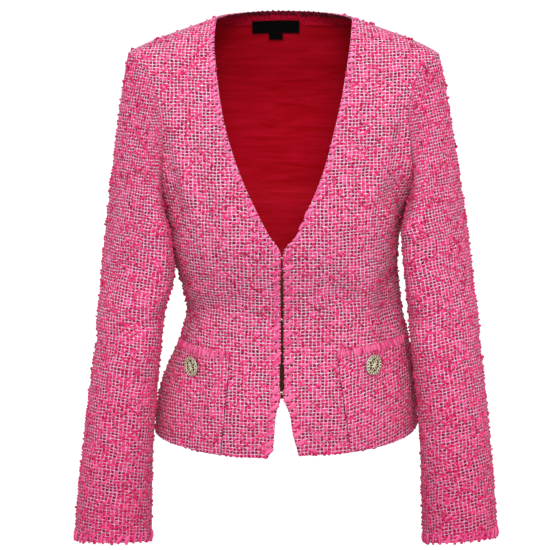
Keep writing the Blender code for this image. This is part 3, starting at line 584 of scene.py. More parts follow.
def curve_through(table, column, at):
    """A column of a table by height, read at many heights by a smooth curve."""
    table = table[np.argsort(table[:, 0])]
    keys, values = table[:, 0], table[:, column]
    at = np.clip(at, keys[0], keys[-1])
    i = np.clip(np.searchsorted(keys, at) - 1, 0, len(keys) - 2)
    rise = np.diff(values) / np.diff(keys)
    slope = np.zeros(len(keys))
    slope[0], slope[-1] = rise[0], rise[-1]
    same = rise[:-1] * rise[1:] > 0
    total = np.where(same, rise[:-1] + rise[1:], 1.0)
    slope[1:-1] = np.where(same, 2 * rise[:-1] * rise[1:] / total, 0.0)
    span = keys[i + 1] - keys[i]
    t = (at - keys[i]) / span
    return (values[i] * (2 * t**3 - 3 * t**2 + 1) + span * slope[i] * (t**3 - 2 * t**2 + t)
            + values[i + 1] * (3 * t**2 - 2 * t**3) + span * slope[i + 1] * (t**3 - t**2))


def ease(t):
    t = np.clip(t, 0.0, 1.0)
    return t * t * (3 - 2 * t)


def fold_sum(folds, x, z):
    """How far folds stand out at places, each fading with the distance from its line."""
    rise = np.zeros(np.broadcast(x, z).shape)
    for x0, z0, x1, z1, width, height in folds:
        run = np.array([x1 - x0, z1 - z0], float)
        along = np.clip(((x - x0) * run[0] + (z - z0) * run[1]) / (run @ run), 0, 1)
        apart = (x - x0 - along * run[0]) ** 2 + (z - z0 - along * run[1]) ** 2
        rise += height * np.exp(-apart / width**2)
    return rise


class Panel:
    """One quarter of the body's surface. A place on it is its distance out and its height."""

    def __init__(self, face, side):
        self.face, self.side = face, side
        self.across = -1 if side == "left" else 1
        self.ahead = -1 if face == "front" else 1
        self.folds = FOLDS[face + "_" + side]

    def half_width(self, z):
        return curve_through(BODY, BODY_COLUMNS[self.side], z)

    def square(self, z):
        return curve_through(BODY, BODY_COLUMNS[self.face + "_square"], z)

    def depth(self, z):
        depth = curve_through(BODY, BODY_COLUMNS[self.face], z)
        if self.face == "back":
            return depth
        rolled = np.sqrt(np.maximum(1 - np.clip(1 + z / SHOULDER_ROUNDING, 0, None) ** 2, 1e-6))
        return depth * rolled

    def out_at_turn(self, turn, z):
        return self.half_width(z) * np.sin(np.radians(turn)) ** (2 / self.square(z))

    def turn_at_out(self, out, z):
        share = np.clip(out / self.half_width(z), 0, 1) ** (self.square(z) / 2)
        return np.degrees(np.arcsin(share))

    def reach(self, out, z):
        square = self.square(z)
        share = np.clip(out / self.half_width(z), 0, 1) ** square
        return self.depth(z) * (1 - share) ** (1 / square)

    def out_at_reach(self, reach, z):
        square = self.square(z)
        share = np.clip(reach / self.depth(z), 0, 1) ** square
        return self.half_width(z) * (1 - share) ** (1 / square)

    def level(self, out, reach, z):
        square = self.square(z)
        return (out / self.half_width(z)) ** square + (reach / self.depth(z)) ** square

    def normals(self, out, z):
        reach, square, step = self.reach(out, z), self.square(z), 0.5
        up = (self.level(out, reach, z + step) - self.level(out, reach, z - step)) / (2 * step)
        found = np.stack([
            self.across * square * out ** (square - 1) / self.half_width(z) ** square,
            self.ahead * square * reach ** (square - 1) / self.depth(z) ** square,
            up,
        ], axis=-1)
        return unit(found)

    def fold_rise(self, out, z):
        return fold_sum(self.folds, out, z) * ease(self.reach(out, z) / FOLD_CALM)

    def points(self, out, z, lift=0.0):
        out, z = np.broadcast_arrays(np.asarray(out, float), np.asarray(z, float))
        ahead = self.ahead * (self.reach(out, z) + SEAM_GAP / 2)
        base = np.stack([self.across * out, ahead, z], axis=-1)
        return base + self.normals(out, z) * (self.fold_rise(out, z) + lift)[..., None]

    def cloth_place(self, out, z):
        """Where on the flat cloth a place lies, in mm: round from the middle, and up."""
        turns = self.turn_at_out(out, z)[..., None] * np.linspace(0, 1, 17)
        heights = np.asarray(z, float)[..., None] + 0 * turns
        outs = self.out_at_turn(turns, heights)
        reaches = self.reach(outs, heights)
        round_way = np.hypot(np.diff(outs), np.diff(reaches)).sum(axis=-1)
        heights = np.arange(-530.0, 3.0)
        climb = np.concatenate([[0], np.cumsum(np.hypot(1.0, np.diff(self.depth(heights))))])
        past_turn = np.maximum(np.asarray(z, float) - SHOULDER_TURN_Z, 0)[..., None]
        levels = SHOULDER_TURN_Z + past_turn * np.linspace(0, 1, 33)
        reaches = self.reach(np.asarray(out, float)[..., None] + 0 * levels, levels)
        over = np.hypot(np.diff(levels), np.diff(reaches)).sum(axis=-1)
        climb = np.interp(np.minimum(z, SHOULDER_TURN_Z), heights, climb) + over
        return np.stack([self.across * round_way, climb], axis=-1)

    def hem(self, turn):
        middle, side = HEM[self.side]
        if self.face == "back":
            middle = BACK_HEM_Z
        return side + (middle - side) * np.cos(np.radians(np.minimum(turn, 90.0))) ** HEM_CURVE

    def armhole_place(self, share):
        angle = math.pi * np.asarray(share, float)
        z = (UNDERARM_Z + SHOULDER_Z) / 2 - (SHOULDER_Z - UNDERARM_Z) / 2 * np.cos(angle)
        widest = ARMHOLE_REACH[self.face] * np.maximum(np.sin(angle), 0.0)
        scoop = ARMHOLE_SCOOP.get(self.face + "_" + self.side, 0.0)
        widest = widest + scoop * (np.sin(angle) * np.cos(angle / 2) ** 2) ** 2
        return self.out_at_reach(widest, z), z


def neck_climb(share):
    return 0.6 * share + 0.4 * (1 - np.cos(np.pi * share)) / 2


def back_places(panel, columns=54, neck_columns=24, low_rows=62, high_rows=56):
    """Places over half of the back, hem first, each row from the middle to the side."""
    share = np.linspace(0, 1, columns + 1)[None]
    down = np.linspace(1, 0, low_rows + 1)[:, None]
    z = UNDERARM_Z + down * (panel.hem(90 * share) - UNDERARM_Z)
    low = np.stack([panel.out_at_turn(90 * share + 0 * z, z), z], axis=-1)
    neck_out = NECK_HALF * np.sin(np.pi / 2 * np.arange(neck_columns) / neck_columns)
    neck = np.stack([neck_out, BACK_NECK_RISE * (1 - (neck_out / NECK_HALF) ** 2)], axis=-1)
    shoulder_z = SHOULDER_Z * np.linspace(0, 1, columns - neck_columns + 1)
    shoulder = np.stack([panel.half_width(shoulder_z), shoulder_z], axis=-1)
    top, under = np.concatenate([neck, shoulder])[None], low[-1][None]
    up = np.linspace(0, 1, high_rows + 1)[1:, None]
    side_up = (1 - np.cos(np.pi * up)) / 2
    edge = np.stack(panel.armhole_place(up[:, 0]), axis=-1)
    edge = edge - (under[:, -1] + (top[:, -1] - under[:, -1]) * side_up)
    climb = neck_climb(up) + (side_up - neck_climb(up)) * share
    high = under + (top - under) * climb[..., None] + edge[:, None] * share[..., None] ** 2
    return np.concatenate([low, high])


def both_halves(left, right):
    middle = (left[:, :1] + right[:, :1]) / 2
    return np.concatenate([left[:, :0:-1], middle, right[:, 1:]], axis=1)


back_panels = (Panel("back", "left"), Panel("back", "right"))
back_halves = [(panel, back_places(panel)) for panel in back_panels]


def back_grid(lift):
    return both_halves(*(panel.points(at[..., 0], at[..., 1], lift) for panel, at in back_halves))


def cloth_piece(name, outer, inner, flat_places, made_of, ring=False, turned_rows=0, sewn=()):
    """One closed wall of cloth between two grids of points in mm. Its UV map cloth_mm holds
    the place on the flat cloth in mm, so the weave follows the piece. The inner side takes the
    second material, and the third in its last rows, where the edge is turned in. An edge that
    is sewn to another piece takes the second material too."""
    rows, columns = outer.shape[:2]
    count = rows * columns
    quads_across = columns if ring else columns - 1
    i, j = np.divmod(np.arange((rows - 1) * quads_across), quads_across)

    def corner(row, column):
        return row * columns + column % columns

    a, b, c, d = corner(i, j), corner(i, j + 1), corner(i + 1, j + 1), corner(i + 1, j)
    flat_a, flat_b = flat_places[i, j], flat_places[i, j + 1]
    flat_c, flat_d = flat_places[i + 1, j + 1], flat_places[i + 1, j]
    quads = [np.stack([a, b, c, d], 1), np.stack([d, c, b, a], 1) + count]
    flats = [np.stack([flat_a, flat_b, flat_c, flat_d], 1),
             np.stack([flat_d, flat_c, flat_b, flat_a], 1)]
    slots = [np.zeros(len(a), int), np.where(i >= rows - 1 - turned_rows, 2, 1)]
    edges = [("first", i == 0, a, b, flat_a, flat_b, (0, -CLOTH)),
             ("last", i == rows - 2, c, d, flat_c, flat_d, (0, CLOTH))]
    if not ring:
        edges += [("start", j == 0, d, a, flat_d, flat_a, (-CLOTH, 0)),
                  ("end", j == columns - 2, b, c, flat_b, flat_c, (CLOTH, 0))]
    for edge, here, p, q, flat_p, flat_q, shift in edges:
        p, q, flat_p, flat_q = p[here], q[here], flat_p[here], flat_q[here]
        quads.append(np.stack([q, p, p + count, q + count], 1))
        flats.append(np.stack([flat_q, flat_p, flat_p + shift, flat_q + shift], 1))
        slots.append(np.full(len(p), int(edge in sewn)))
    quads, flats, slots = np.concatenate(quads), np.concatenate(flats), np.concatenate(slots)
    points = np.concatenate([outer.reshape(-1, 3), inner.reshape(-1, 3)]) * MM
    p0, p1, p2, p3 = (points[quads[:, k]] for k in range(4))
    volume = (np.cross(p0, p1) * p2).sum() + (np.cross(p0, p2) * p3).sum()
    if volume < 0:
        quads, flats = quads[:, ::-1], flats[:, ::-1]

    mesh = bpy.data.meshes.new(name)
    mesh.from_pydata(points.tolist(), [], quads.tolist())
    mesh.uv_layers.new(name="cloth_mm").data.foreach_set("uv", flats.astype(np.float32).ravel())
    for each in made_of:
        mesh.materials.append(each)
    mesh.polygons.foreach_set("material_index", np.minimum(slots, len(made_of) - 1))
    mesh.shade_smooth()
    mesh.set_sharp_from_angle(angle=SHARP_EDGE)
    return in_scene(name, mesh)


back_outer, back_inner = back_grid(0.0), back_grid(-CLOTH)
back_flat = both_halves(*(panel.cloth_place(at[..., 0], at[..., 1]) for panel, at in back_halves))
back = cloth_piece("back_cloth", back_outer, back_inner, back_flat, (tweed, satin, overlocked_shaded),
                   turned_rows=TURNED_ROWS, sewn=("start", "end"))
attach(back, "root")
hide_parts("back")
back_normals = outward_normals(back_outer, np.array([0.0, 1.0, 0.0]))
on_back = slubs("back", back_outer, back_normals, back_flat, seed=11)
neck = slice(32, -32)  # the grid's columns between the shoulder seams
# Painted shade: these stitches inside the neck take the dark crimson yarn.
on_back.append(whip("back_neck_stitches", back_inner[-1, neck], -back_normals[-2, neck],
                    back_inner[-4, neck] - back_inner[-1, neck], step=6.4, length=8.0,
                    slope=52.0, seed=81, strands=2, width=1.5, overhang=1.0, radius=1.2,
                    yarn=shaded_yarn, up=(1.0, 0.0, 0.0)))


# The fronts: two panels of the same tweed, cut to a deep V that meets edge to edge and parts
# again below the last hook, and seamed to the back at the shoulders and sides.

V_FOOT_Z = -270.0
# Height of the top, its rise outwards, how far out the inner side lies at the top and the foot,
# where round the body the outer side lies, and how steeply the weft climbs outwards.
POCKETS = {
    "left": (-395.0, 2.0, 62.5, 73.0, 77.0, -0.04),
    "right": (-390.5, 6.0, 65.0, 82.0, 71.0, 0.2),
}
# Height, and how far out the left and the right edge lie.
FRONT_EDGE = np.array([
    (-517, 17, 21), (-506, 10.5, 18), (-488, 9, 13), (-468, 7.5, 10), (-458, 5, 6.5),
    (-450, 2.2, 2.6), (-442, 1.6, 1.6), (-434, 3.0, 2.8), (-412, 2.8, 2.7), (-400, 1.9, 1.9),
    (-356, 1.7, 1.6), (-310, 2.1, 1.9), (V_FOOT_Z, 1.3, 1.3),
    (-246, 15.5, 17.5), (-216, 31.5, 31), (-186, 46, 44), (-156, 58, 54), (-126, 67.5, 61.5),
    (-86, 76, 70.5), (-51, 81, 76.5), (-21, 83.5, 80.5), (0, NECK_HALF, NECK_HALF),
])


def edge_out(side, z):
    return curve_through(FRONT_EDGE, 1 if side == "left" else 2, z)


def front_places(panel, columns=56, low_rows=74, high_rows=60):
    """Places over a front, hem first, each row from the front edge to the side."""
    share = np.linspace(0, 1, columns + 1)[None]
    lowest, pocket_top = HEM[panel.side][0], POCKETS[panel.side][0]
    base = np.linspace(lowest, UNDERARM_Z, low_rows + 1)[:, None]
    edge = panel.turn_at_out(edge_out(panel.side, base), base)
    turns = edge + (90 - edge) * share
    down = np.maximum((base - pocket_top) / (lowest - pocket_top), 0.0)
    z = base + down * (panel.hem(turns) - lowest)
    low = np.stack([panel.out_at_turn(turns, z), z], axis=-1)
    up = np.linspace(0, 1, high_rows + 1)[1:]
    z = UNDERARM_Z * (1 - neck_climb(up))
    first = np.stack([panel.turn_at_out(edge_out(panel.side, z), z), z], axis=-1)
    out, z = panel.armhole_place(up)
    last = np.stack([panel.turn_at_out(out, z), z], axis=-1)
    turned = first[:, None] + (last - first)[:, None] * share[..., None]
    high = np.stack([panel.out_at_turn(turned[..., 0], turned[..., 1]), turned[..., 1]], axis=-1)
    return np.concatenate([low, high])


fronts = {}
for side in ("left", "right"):
    panel = Panel("front", side)
    places = front_places(panel)
    out, z = places[..., 0], places[..., 1]
    outer, inner = panel.points(out, z), panel.points(out, z, -CLOTH)
    flat = panel.cloth_place(out, z)
    piece = cloth_piece(f"front_{side}_cloth", outer, inner, flat, (tweed, satin),
                        sewn=("last", "end"))
    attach(piece, "root")
    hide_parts("front_" + side)
    normals = outward_normals(outer, np.array([0.0, -1.0, 0.0]))
    on_front = slubs("front_" + side, outer, normals, flat, seed=21)
    slope = 38 if side == "right" else -38
    foot = int(np.searchsorted(z[:, 0], V_FOOT_Z))
    edge, into = outer[:, 0], outer[:, 3] - outer[:, 0]
    on_front.append(whip(f"front_{side}_whip_stitches", edge[2:foot], normals[2:foot, 1],
                         into[2:foot], step=10.6, length=12.2, slope=slope, seed=51, width=1.5,
                         overhang=-0.5))
    on_front.append(whip(f"front_{side}_neck_stitches", edge[foot:], normals[foot:, 1],
                         into[foot:], step=7.6, length=8.6, slope=slope * 0.8, seed=52, strands=2,
                         overhang=-0.4, radius=1.0, scatter=14.0, yarn=pale_yarn))
    chance = np.random.default_rng(31)
    hem_line = outer[0] * 0.6 + inner[0] * 0.4
    knots = along_line(hem_line, spaced(hem_line, 6.5, 0.5, chance)) + (0.0, 0.0, 0.9)
    on_front.append(grown(f"front_{side}_hem_nubs", beads, knots, {},
                          chance.uniform(0.45, 1.1, len(knots)), Radius=2.3, Seed=31,
                          Finish=slub_yarn))
    fronts[side] = (panel, piece)


# The sleeves: long straight tubes of tweed, each cut in one piece with its seam under the arm,
# set into the armhole with a softly gathered cap, and hanging a little forward.

UNDERARM_LAP = 60.0  # up from the underarm, where the sleeve lies beside the body
CAP_FULLNESS = 1.0
CAP_LENGTH = 150.0
CAP_SPREAD = 18.0
SLEEVE_CLEAR = 1.4
# Height, inner and outer reach sideways, middle front to back, half depth, turn and tip.
ARM = {
    "left": np.array([
        (-252, 136, 219.5, -22, 62.5, 18, 2), (-304, 131.5, 224.5, -24, 58.5, 14, 3),
        (-356, 143.5, 229, -29, 54.5, 10, 5), (-406, 149.5, 232.5, -37, 52.5, 8, 7),
        (-466, 154.5, 239.5, -47, 50.5, 5, 9), (-526, 159, 246, -57, 49.5, 3, 10),
        (-586, 160.5, 251.5, -67, 49.5, 0, 10), (-633, 160.5, 255, -75, 49.5, 0, 10),
    ]),
    "right": np.array([
        (-252, 141.5, 224, -22, 62.5, 18, 2), (-304, 146.5, 231, -24, 58.5, 14, 3),
        (-356, 151.5, 238, -29, 54.5, 10, 5), (-406, 156.5, 242.5, -37, 52.5, 8, 7),
        (-466, 163, 249, -47, 50.5, 5, 9), (-526, 168, 254.5, -57, 49.5, 3, 10),
        (-586, 170, 259.5, -67, 49.5, 0, 10), (-629, 172, 262.5, -74, 49.5, 0, 10),
    ]),
}
# Creases: where round the arm in degrees (0 the inner side, 90 the front) and height of both
# ends, the width and the rise.
CREASES = {
    "left": [
        (60, -268, 150, -306, 13, -2.5), (30, -358, 120, -378, 12, -3.0),
        (100, -404, 190, -392, 13, -2.0), (20, -446, 80, -431, 12, -2.5),
        (200, -336, 320, -358, 13, -3.0), (230, -401, 330, -386, 12, -2.5),
        (50, -330, 110, -344, 8, 1.6), (60, -400, 120, -416, 8, 1.5),
        (40, -480, 100, -492, 9, -1.4), (90, -520, 160, -512, 9, -1.2),
        (70, -560, 130, -572, 9, -1.2),
    ],
    "right": [
        (60, -262, 140, -302, 13, -2.5), (30, -351, 110, -374, 12, -3.0),
        (90, -408, 180, -390, 13, -2.0), (20, -458, 75, -436, 12, -2.5),
        (205, -332, 315, -352, 13, -3.0), (235, -406, 330, -394, 12, -2.5),
        (50, -324, 110, -338, 8, 1.6), (60, -392, 120, -410, 8, 1.5),
        (40, -486, 100, -498, 9, -1.4), (90, -524, 160, -514, 9, -1.2),
        (70, -562, 130, -574, 9, -1.2),
    ],
}
CUFF_LEAN = {"left": 0.0, "right": 0.1}  # how far the cuff rises outwards, by its width
CUFF_LEAN_TOP, CUFF_LEAN_HEIGHT = -400.0, 200.0
WEFT_LEAN = 0.13  # how steeply the weft climbs outwards
ARM_ROUND_PER_DEGREE = 0.8  # mm
SLEEVE_WEAVE = (1.08, 0.972)  # the yarns' spacing round and along, next to the body's
BINDING_CLOTH = 0.4
BINDING_LIES_OVER = 0.1
RIM_STEP = 0.004  # between places on the armhole, to find the way it runs
SLEEVE_COLUMNS = 92
CAP_ROWS = 48
CREASE_ROWS = 12  # over which the creases set in, where the cap ends
ARM_ROWS = 96


def armhole_rim(side):
    """Points, cloth normals and onward ways round the armhole, from the underarm up the front
    and down the back, and how much the sleeve laps beside the body there."""
    half = SLEEVE_COLUMNS // 2
    parts = []
    for face, steps in (("front", np.arange(half + 1)), ("back", np.arange(half - 1, 0, -1))):
        panel, share = Panel(face, side), steps / half
        out, z = panel.armhole_place(share)
        point, normal = panel.points(out, z), panel.normals(out, z)
        step = np.clip(np.stack([share + RIM_STEP, share - RIM_STEP]), 0, 1)
        ahead, behind = (panel.points(*panel.armhole_place(s)) for s in step)
        run = (ahead - behind) * -panel.ahead
        for at, way in ((0, -1.0), (half, 1.0)):
            ends = steps == at
            run[ends] = (0.0, way, 0.0)
            point[ends, 1] = 0.0
        onward = unit(np.cross(run, normal) * panel.across)
        parts.append((point, normal, onward, ease((UNDERARM_Z + UNDERARM_LAP - z) / UNDERARM_LAP)))
    return [np.concatenate(pair) for pair in zip(*parts)]


def arm_ring(side, z):
    """Points round the arm at a height, from the inner side by the front."""
    inner, outer, middle, depth, turn, tip = (
        float(curve_through(ARM[side], column, z)) for column in range(1, 7))
    turn, tip = math.radians(turn), math.radians(tip)
    half = (outer - inner) / 2
    narrow = math.sqrt(half**2 - (depth * math.sin(turn)) ** 2) / math.cos(turn)
    angle = 2 * np.pi * np.arange(SLEEVE_COLUMNS) / SLEEVE_COLUMNS
    out, ahead = -narrow * np.cos(angle), depth * np.sin(angle)
    turned = out * math.cos(turn) - ahead * math.sin(turn)
    ahead = ahead * math.cos(turn) - out * math.sin(turn)
    across = (inner + half + turned) * (-1 if side == "left" else 1)
    lean = CUFF_LEAN[side] * ease(np.float64((CUFF_LEAN_TOP - z) / CUFF_LEAN_HEIGHT))
    up = z + ahead * math.sin(tip) + lean * turned
    return np.stack([across, middle - ahead * math.cos(tip), up], axis=-1)


def closed_round(grid):
    """A grid that goes round, with its first column again at its end."""
    return np.concatenate([grid, grid[:, :1]], axis=1)


def clear_of_body(side, points):
    """The points, moved out sideways where they would lie in the body or too near to it."""
    points = points.copy()
    for face in ("front", "back"):
        panel = Panel(face, side)
        here = (points[:, 1] < 0) == (face == "front")
        x, y, z = points[here].T
        inside = np.abs(y) < panel.depth(z)
        out = panel.out_at_reach(np.abs(y), z)
        out = out + SLEEVE_CLEAR + np.maximum(panel.fold_rise(out, z), 0.0)
        near = ease((UNDERARM_Z + UNDERARM_LAP - z) / UNDERARM_LAP)
        moved = x + panel.across * np.maximum(out - np.abs(x), 0.0) * near
        points[here, 0] = np.where(inside, moved, x)
    return points


def make_sleeve(side):
    """A sleeve's cloth from the armhole to the cuff, and its binding, with the outer side's
    points, cloth normals and flat places."""
    point, normal, onward, lap = armhole_rim(side)
    turn = math.pi * lap[:, None]
    gap = onward * np.cos(turn / 2) + normal * np.sin(turn / 2)
    through = onward * np.sin(turn) - normal * np.cos(turn)
    start = point + SEAM_GAP * gap
    heights = np.linspace(ARM[side][0, 0], ARM[side][-1, 0], ARM_ROWS + 1)
    first = arm_ring(side, heights[0])
    length = np.linalg.norm(first - start, axis=1)[:, None]
    away = (start + first) / 2
    away = unit((away - away.mean(axis=0)) * (1, 1, 0))
    rings = [start]
    for share in np.linspace(0, 1, CAP_ROWS + 1)[1:-1]:
        full = CAP_FULLNESS * math.sin(math.pi * share) * np.clip(length / CAP_LENGTH, 0, 1)
        spread = CAP_SPREAD * share * (1 - share) ** 2 * onward * (1 - lap[:, None])
        rings.append(clear_of_body(side, start + (first - start) * share + away * full + spread))
    rings += [clear_of_body(side, arm_ring(side, float(z))) for z in heights]
    outer = np.array(rings)
    outward = 1 if side == "left" else -1
    normals = smooth_normals(outer, ring=True) * outward
    round_mm = np.arange(SLEEVE_COLUMNS) * 360 / SLEEVE_COLUMNS * ARM_ROUND_PER_DEGREE
    creases = [(a0 * ARM_ROUND_PER_DEGREE, z0, a1 * ARM_ROUND_PER_DEGREE, z1, width, rise)
               for a0, z0, a1, z1, width, rise in CREASES[side]]
    rise = fold_sum(creases, round_mm[None], outer[..., 2])
    rise *= ease((np.arange(len(outer)) - CAP_ROWS) / CREASE_ROWS + 0.5)[:, None]
    outer = outer + normals * rise[..., None]
    inner = outer - smooth_normals(outer, ring=True) * outward * CLOTH
    inner[0] = outer[0] + CLOTH * through

    # The flat place: round from the outer side, and up from the cuff.
    closed = closed_round(outer)
    round_way = np.cumsum(np.linalg.norm(np.diff(closed, axis=1), axis=2), axis=1)
    round_way = np.concatenate([0 * round_way[:, :1], round_way], axis=1)
    round_way -= round_way[:, SLEEVE_COLUMNS // 2][:, None]
    climb = np.linalg.norm(np.diff(closed, axis=0), axis=2)
    climb = np.concatenate([np.cumsum(climb[::-1], axis=0)[::-1], 0 * climb[:1]])
    climb = climb - WEFT_LEAN * np.abs(closed[..., 0])
    flat = np.stack([round_way * outward, climb], axis=-1) / SLEEVE_WEAVE
    piece = cloth_piece(f"sleeve_{side}_cloth", outer, inner, flat, (slubby_tweed, satin),
                        ring=True, sewn=("first",))

    # Inside, a strip of satin binds the armhole seam: it lies over the edges of both cloths.
    into = np.stack([unit(inner[0] - outer[0])] * 2 + [-normal] * 2)
    strip = np.stack([inner[0] + unit(inner[2] - inner[0]) * 3.0, inner[0],
                      point - normal * CLOTH, point - normal * CLOTH - onward * 2.4])
    strip = strip + into * BINDING_LIES_OVER
    run = run_of(closed[0])
    wide = np.array([0.0, 3.0, 4.0, 6.4])  # across the strip, at each of its lines
    places = np.stack(np.broadcast_arrays(run[None], wide[:, None]), axis=-1)
    binding = cloth_piece(f"armhole_{side}_binding", strip, strip + into * BINDING_CLOTH, places,
                          (satin,), ring=True)
    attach(binding, "root")
    return piece, outer, normals, flat


for side in ("left", "right"):
    piece, outer, normals, flat = make_sleeve(side)
    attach(piece, "root")
    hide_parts("sleeve_" + side)
    closed, all_round = closed_round(outer), closed_round(normals)
    on_sleeve = slubs("sleeve_" + side, closed, all_round, flat, seed=31, share=SLEEVE_SLUB_SHARE,
                      rubbed=(1.0 if side == "left" else -1.0, 0.0, 0.0))
    cuff, cuff_normals = closed[-1], all_round[-2]
    on_sleeve.append(whip(f"sleeve_{side}_cuff_stitches", cuff, cuff_normals, closed[-4] - cuff,
                          step=10.2, length=12.6, slope=22.0, seed=61, strands=2, width=1.5,
                          overhang=0.9, scatter=17.0, yarn=cuff_yarn, up=(1.0, 0.0, 0.0)))
    chance = np.random.default_rng(63)
    at = spaced(cuff, 9.8, 0.4, chance)
    knots = along_line(cuff, at) - along_line(cuff_normals, at) * 0.6
    knots[:, 2] -= chance.uniform(0.0, 1.3, len(at))
    on_sleeve.append(grown(f"sleeve_{side}_cuff_knots", beads, knots, {},
                           chance.uniform(0.7, 1.3, len(at)), Radius=1.7, Seed=62,
                           Finish=slub_yarn))


# The back lining: one panel of red satin inside the back, caught at the neck, armholes, sides
# and hem, with a narrow ease pleat down the middle.

LINING_GAP = 0.6
LINING_CLOTH = 1.0
PLEAT_WIDTH = 1.6
PLEAT_RISE = 0.5
LINED = slice(4, -5)  # the back's rows of the grid that it covers


def lining_grid(lift):
    """A layer inside the back, drawn in from the side seams and the neck, and 1 mm deeper there."""
    grid, deeper = back_grid(lift)[LINED], back_grid(lift - 1.0)[LINED]
    for edge, near, beside in ((0, 1, 2), (-1, -2, -3)):
        for column, share in ((edge, 0.6), (near, 0.8)):
            grid[:, column] = deeper[:, column] + (deeper[:, beside] - deeper[:, column]) * share
    grid[-1] = deeper[-1] + (deeper[-2] - deeper[-1]) * 0.9
    grid[..., 1] -= PLEAT_RISE * np.exp(-(grid[..., 0] / PLEAT_WIDTH) ** 2)
    return grid


near = -CLOTH - LINING_GAP
lining = cloth_piece("back_lining_cloth", lining_grid(near), lining_grid(near - LINING_CLOTH),
                     back_flat[LINED], (satin,))
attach(lining, "root")
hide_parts("back_lining")


# The patch pockets: a rounded-off patch of tweed on each front, whose foot runs into the hem. It
# is oversewn along its top and slip stitched down its inner side.

POCKET_CLOTH = 2.2
LAID_GAP = 0.3
POCKET_FOOT_RISE = 1.2  # over the hem
PATCH_SHIFT = (1.9, 1.4)  # of its weave, next to the front's


def pocket_places(panel, columns=30, rows=34):
    """Places over a pocket, foot first, each row from its inner side, and their flat places."""
    top, rise, top_out, foot_out, outer_turn, climb = POCKETS[panel.side]
    lowest = HEM[panel.side][0]
    foot = lowest + POCKET_FOOT_RISE
    share = np.linspace(0, 1, columns + 1)[None]
    base = np.linspace(foot, top, rows + 1)[:, None]
    out = top_out + (foot_out - top_out) * (base - top) / (foot - top)
    inner = panel.turn_at_out(out, base)
    turns = inner + (outer_turn - inner) * share
    z = base + np.maximum((base - top) / (lowest - top), 0) * (panel.hem(turns) - lowest)
    z = z + rise * share * (base - foot) / (top - foot)
    out = panel.out_at_turn(turns, z)
    flat = panel.cloth_place(out, z) + PATCH_SHIFT
    flat[..., 1] -= climb * np.abs(flat[..., 0] - flat[:, :1, 0])
    return out, z, flat


for side in ("left", "right"):
    panel = fronts[side][0]
    out, z, flat = pocket_places(panel)
    outer, under = panel.points(out, z, LAID_GAP + POCKET_CLOTH), panel.points(out, z, LAID_GAP)
    piece = cloth_piece(f"pocket_{side}_cloth", outer, under, flat, (patch_tweed,))
    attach(piece, "root")
    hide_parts("pocket_" + side)
    normals = outward_normals(outer, np.array([0.0, -1.0, 0.0]))
    on_pocket = slubs("pocket_" + side, outer, normals, flat, seed=41)
    on_pocket.append(whip(f"pocket_{side}_top_stitches", outer[-1], normals[-2],
                          outer[-4] - outer[-1], step=4.6, length=11.5, slope=0.0, seed=71,
                          strands=2, width=1.7, overhang=0.8, radius=0.95, scatter=9.0))
    # Painted shade: the side stitches take the dark crimson yarn, as the shadow line down the
    # pocket's inner side.
    on_pocket.append(whip(f"pocket_{side}_side_stitches", under[:-1, 0], normals[:-1, 1],
                          under[:-1, 2] - under[:-1, 0], step=4.0, length=4.6, slope=84.0,
                          seed=72, strands=1, overhang=-0.2, radius=0.85, lift=0.5, scatter=8.0,
                          yarn=shaded_yarn))


# The buttons: a pale gold plated button on each pocket, cast open: a beaded rim, a rosette of
# wire petals inside it, and a dished plate behind, on a shank sewn through the pocket.

# How far out and how high, in mm, and how far each is turned outwards and up, in degrees.
BUTTONS = {"left": (107.5, -417.3, -50.0, 0.0), "right": (107.0, -411.3, 44.0, 2.0)}
SHANK = 1.3
BUTTON_PLATE = np.array([  # radius and height over the shank
    (0, 0.0), (3.0, 0.0), (3.0, 1.2), (11.2, 1.4), (12.1, 1.8), (12.5, 2.5), (12.1, 3.1),
    (11.4, 3.3), (9.3, 3.2), (8.9, 2.6), (8.7, 1.9), (0, 1.9),
])
FLOOR_RADIUS = 9.0  # within it the plate is hollow
BUTTON_SIDES = 56
RIM_BEADS = 18
RIM_BEAD_HEIGHT = 3.3
HEART_BEADS = 7
PETALS = 6
PETAL_START = 1.3


def plated_gold(name, dark, light, metal, roughness):
    """Cast zinc, gold plated, its roughness mottled: darker in its hollows and paler on its edges,
    and softly bright.
    """
    made, add = new_material(name)
    place = add("ShaderNodeTexCoord")
    wear = add("ShaderNodeTexNoise", {"Vector": place.outputs["Object"], "Scale": 420.0,
                                      "Detail": 3.0})
    edge = add("ShaderNodeNewGeometry")
    edge = add("ShaderNodeMapRange", {0: edge.outputs["Pointiness"], 1: 0.44, 2: 0.54})
    mixed = add("ShaderNodeMath", {0: wear, 1: edge}, operation="MULTIPLY")
    mixed = add("ShaderNodeMath", {0: mixed, 1: 1.6}, operation="MULTIPLY", use_clamp=True)
    colour = add("ShaderNodeMix", {0: mixed, 6: srgb(dark), 7: srgb(light)}, data_type="RGBA")
    rough = add("ShaderNodeMapRange", {0: wear, 3: roughness - 0.08, 4: roughness + 0.14})
    bump = add("ShaderNodeBump", {"Height": wear, "Strength": 0.15, "Distance": 0.0002})
    shader = add("ShaderNodeBsdfPrincipled", {
        "Base Color": colour, "Metallic": metal, "Roughness": rough, "Normal": bump})
    add("ShaderNodeOutputMaterial", {0: shader})
    return made


def ring_turns(count):
    return 2 * np.pi * np.arange(count) / count


def circle(radius, height, count=40):
    turns = ring_turns(count)
    return np.stack([radius * np.cos(turns), radius * np.sin(turns), 0 * turns + height], axis=1)


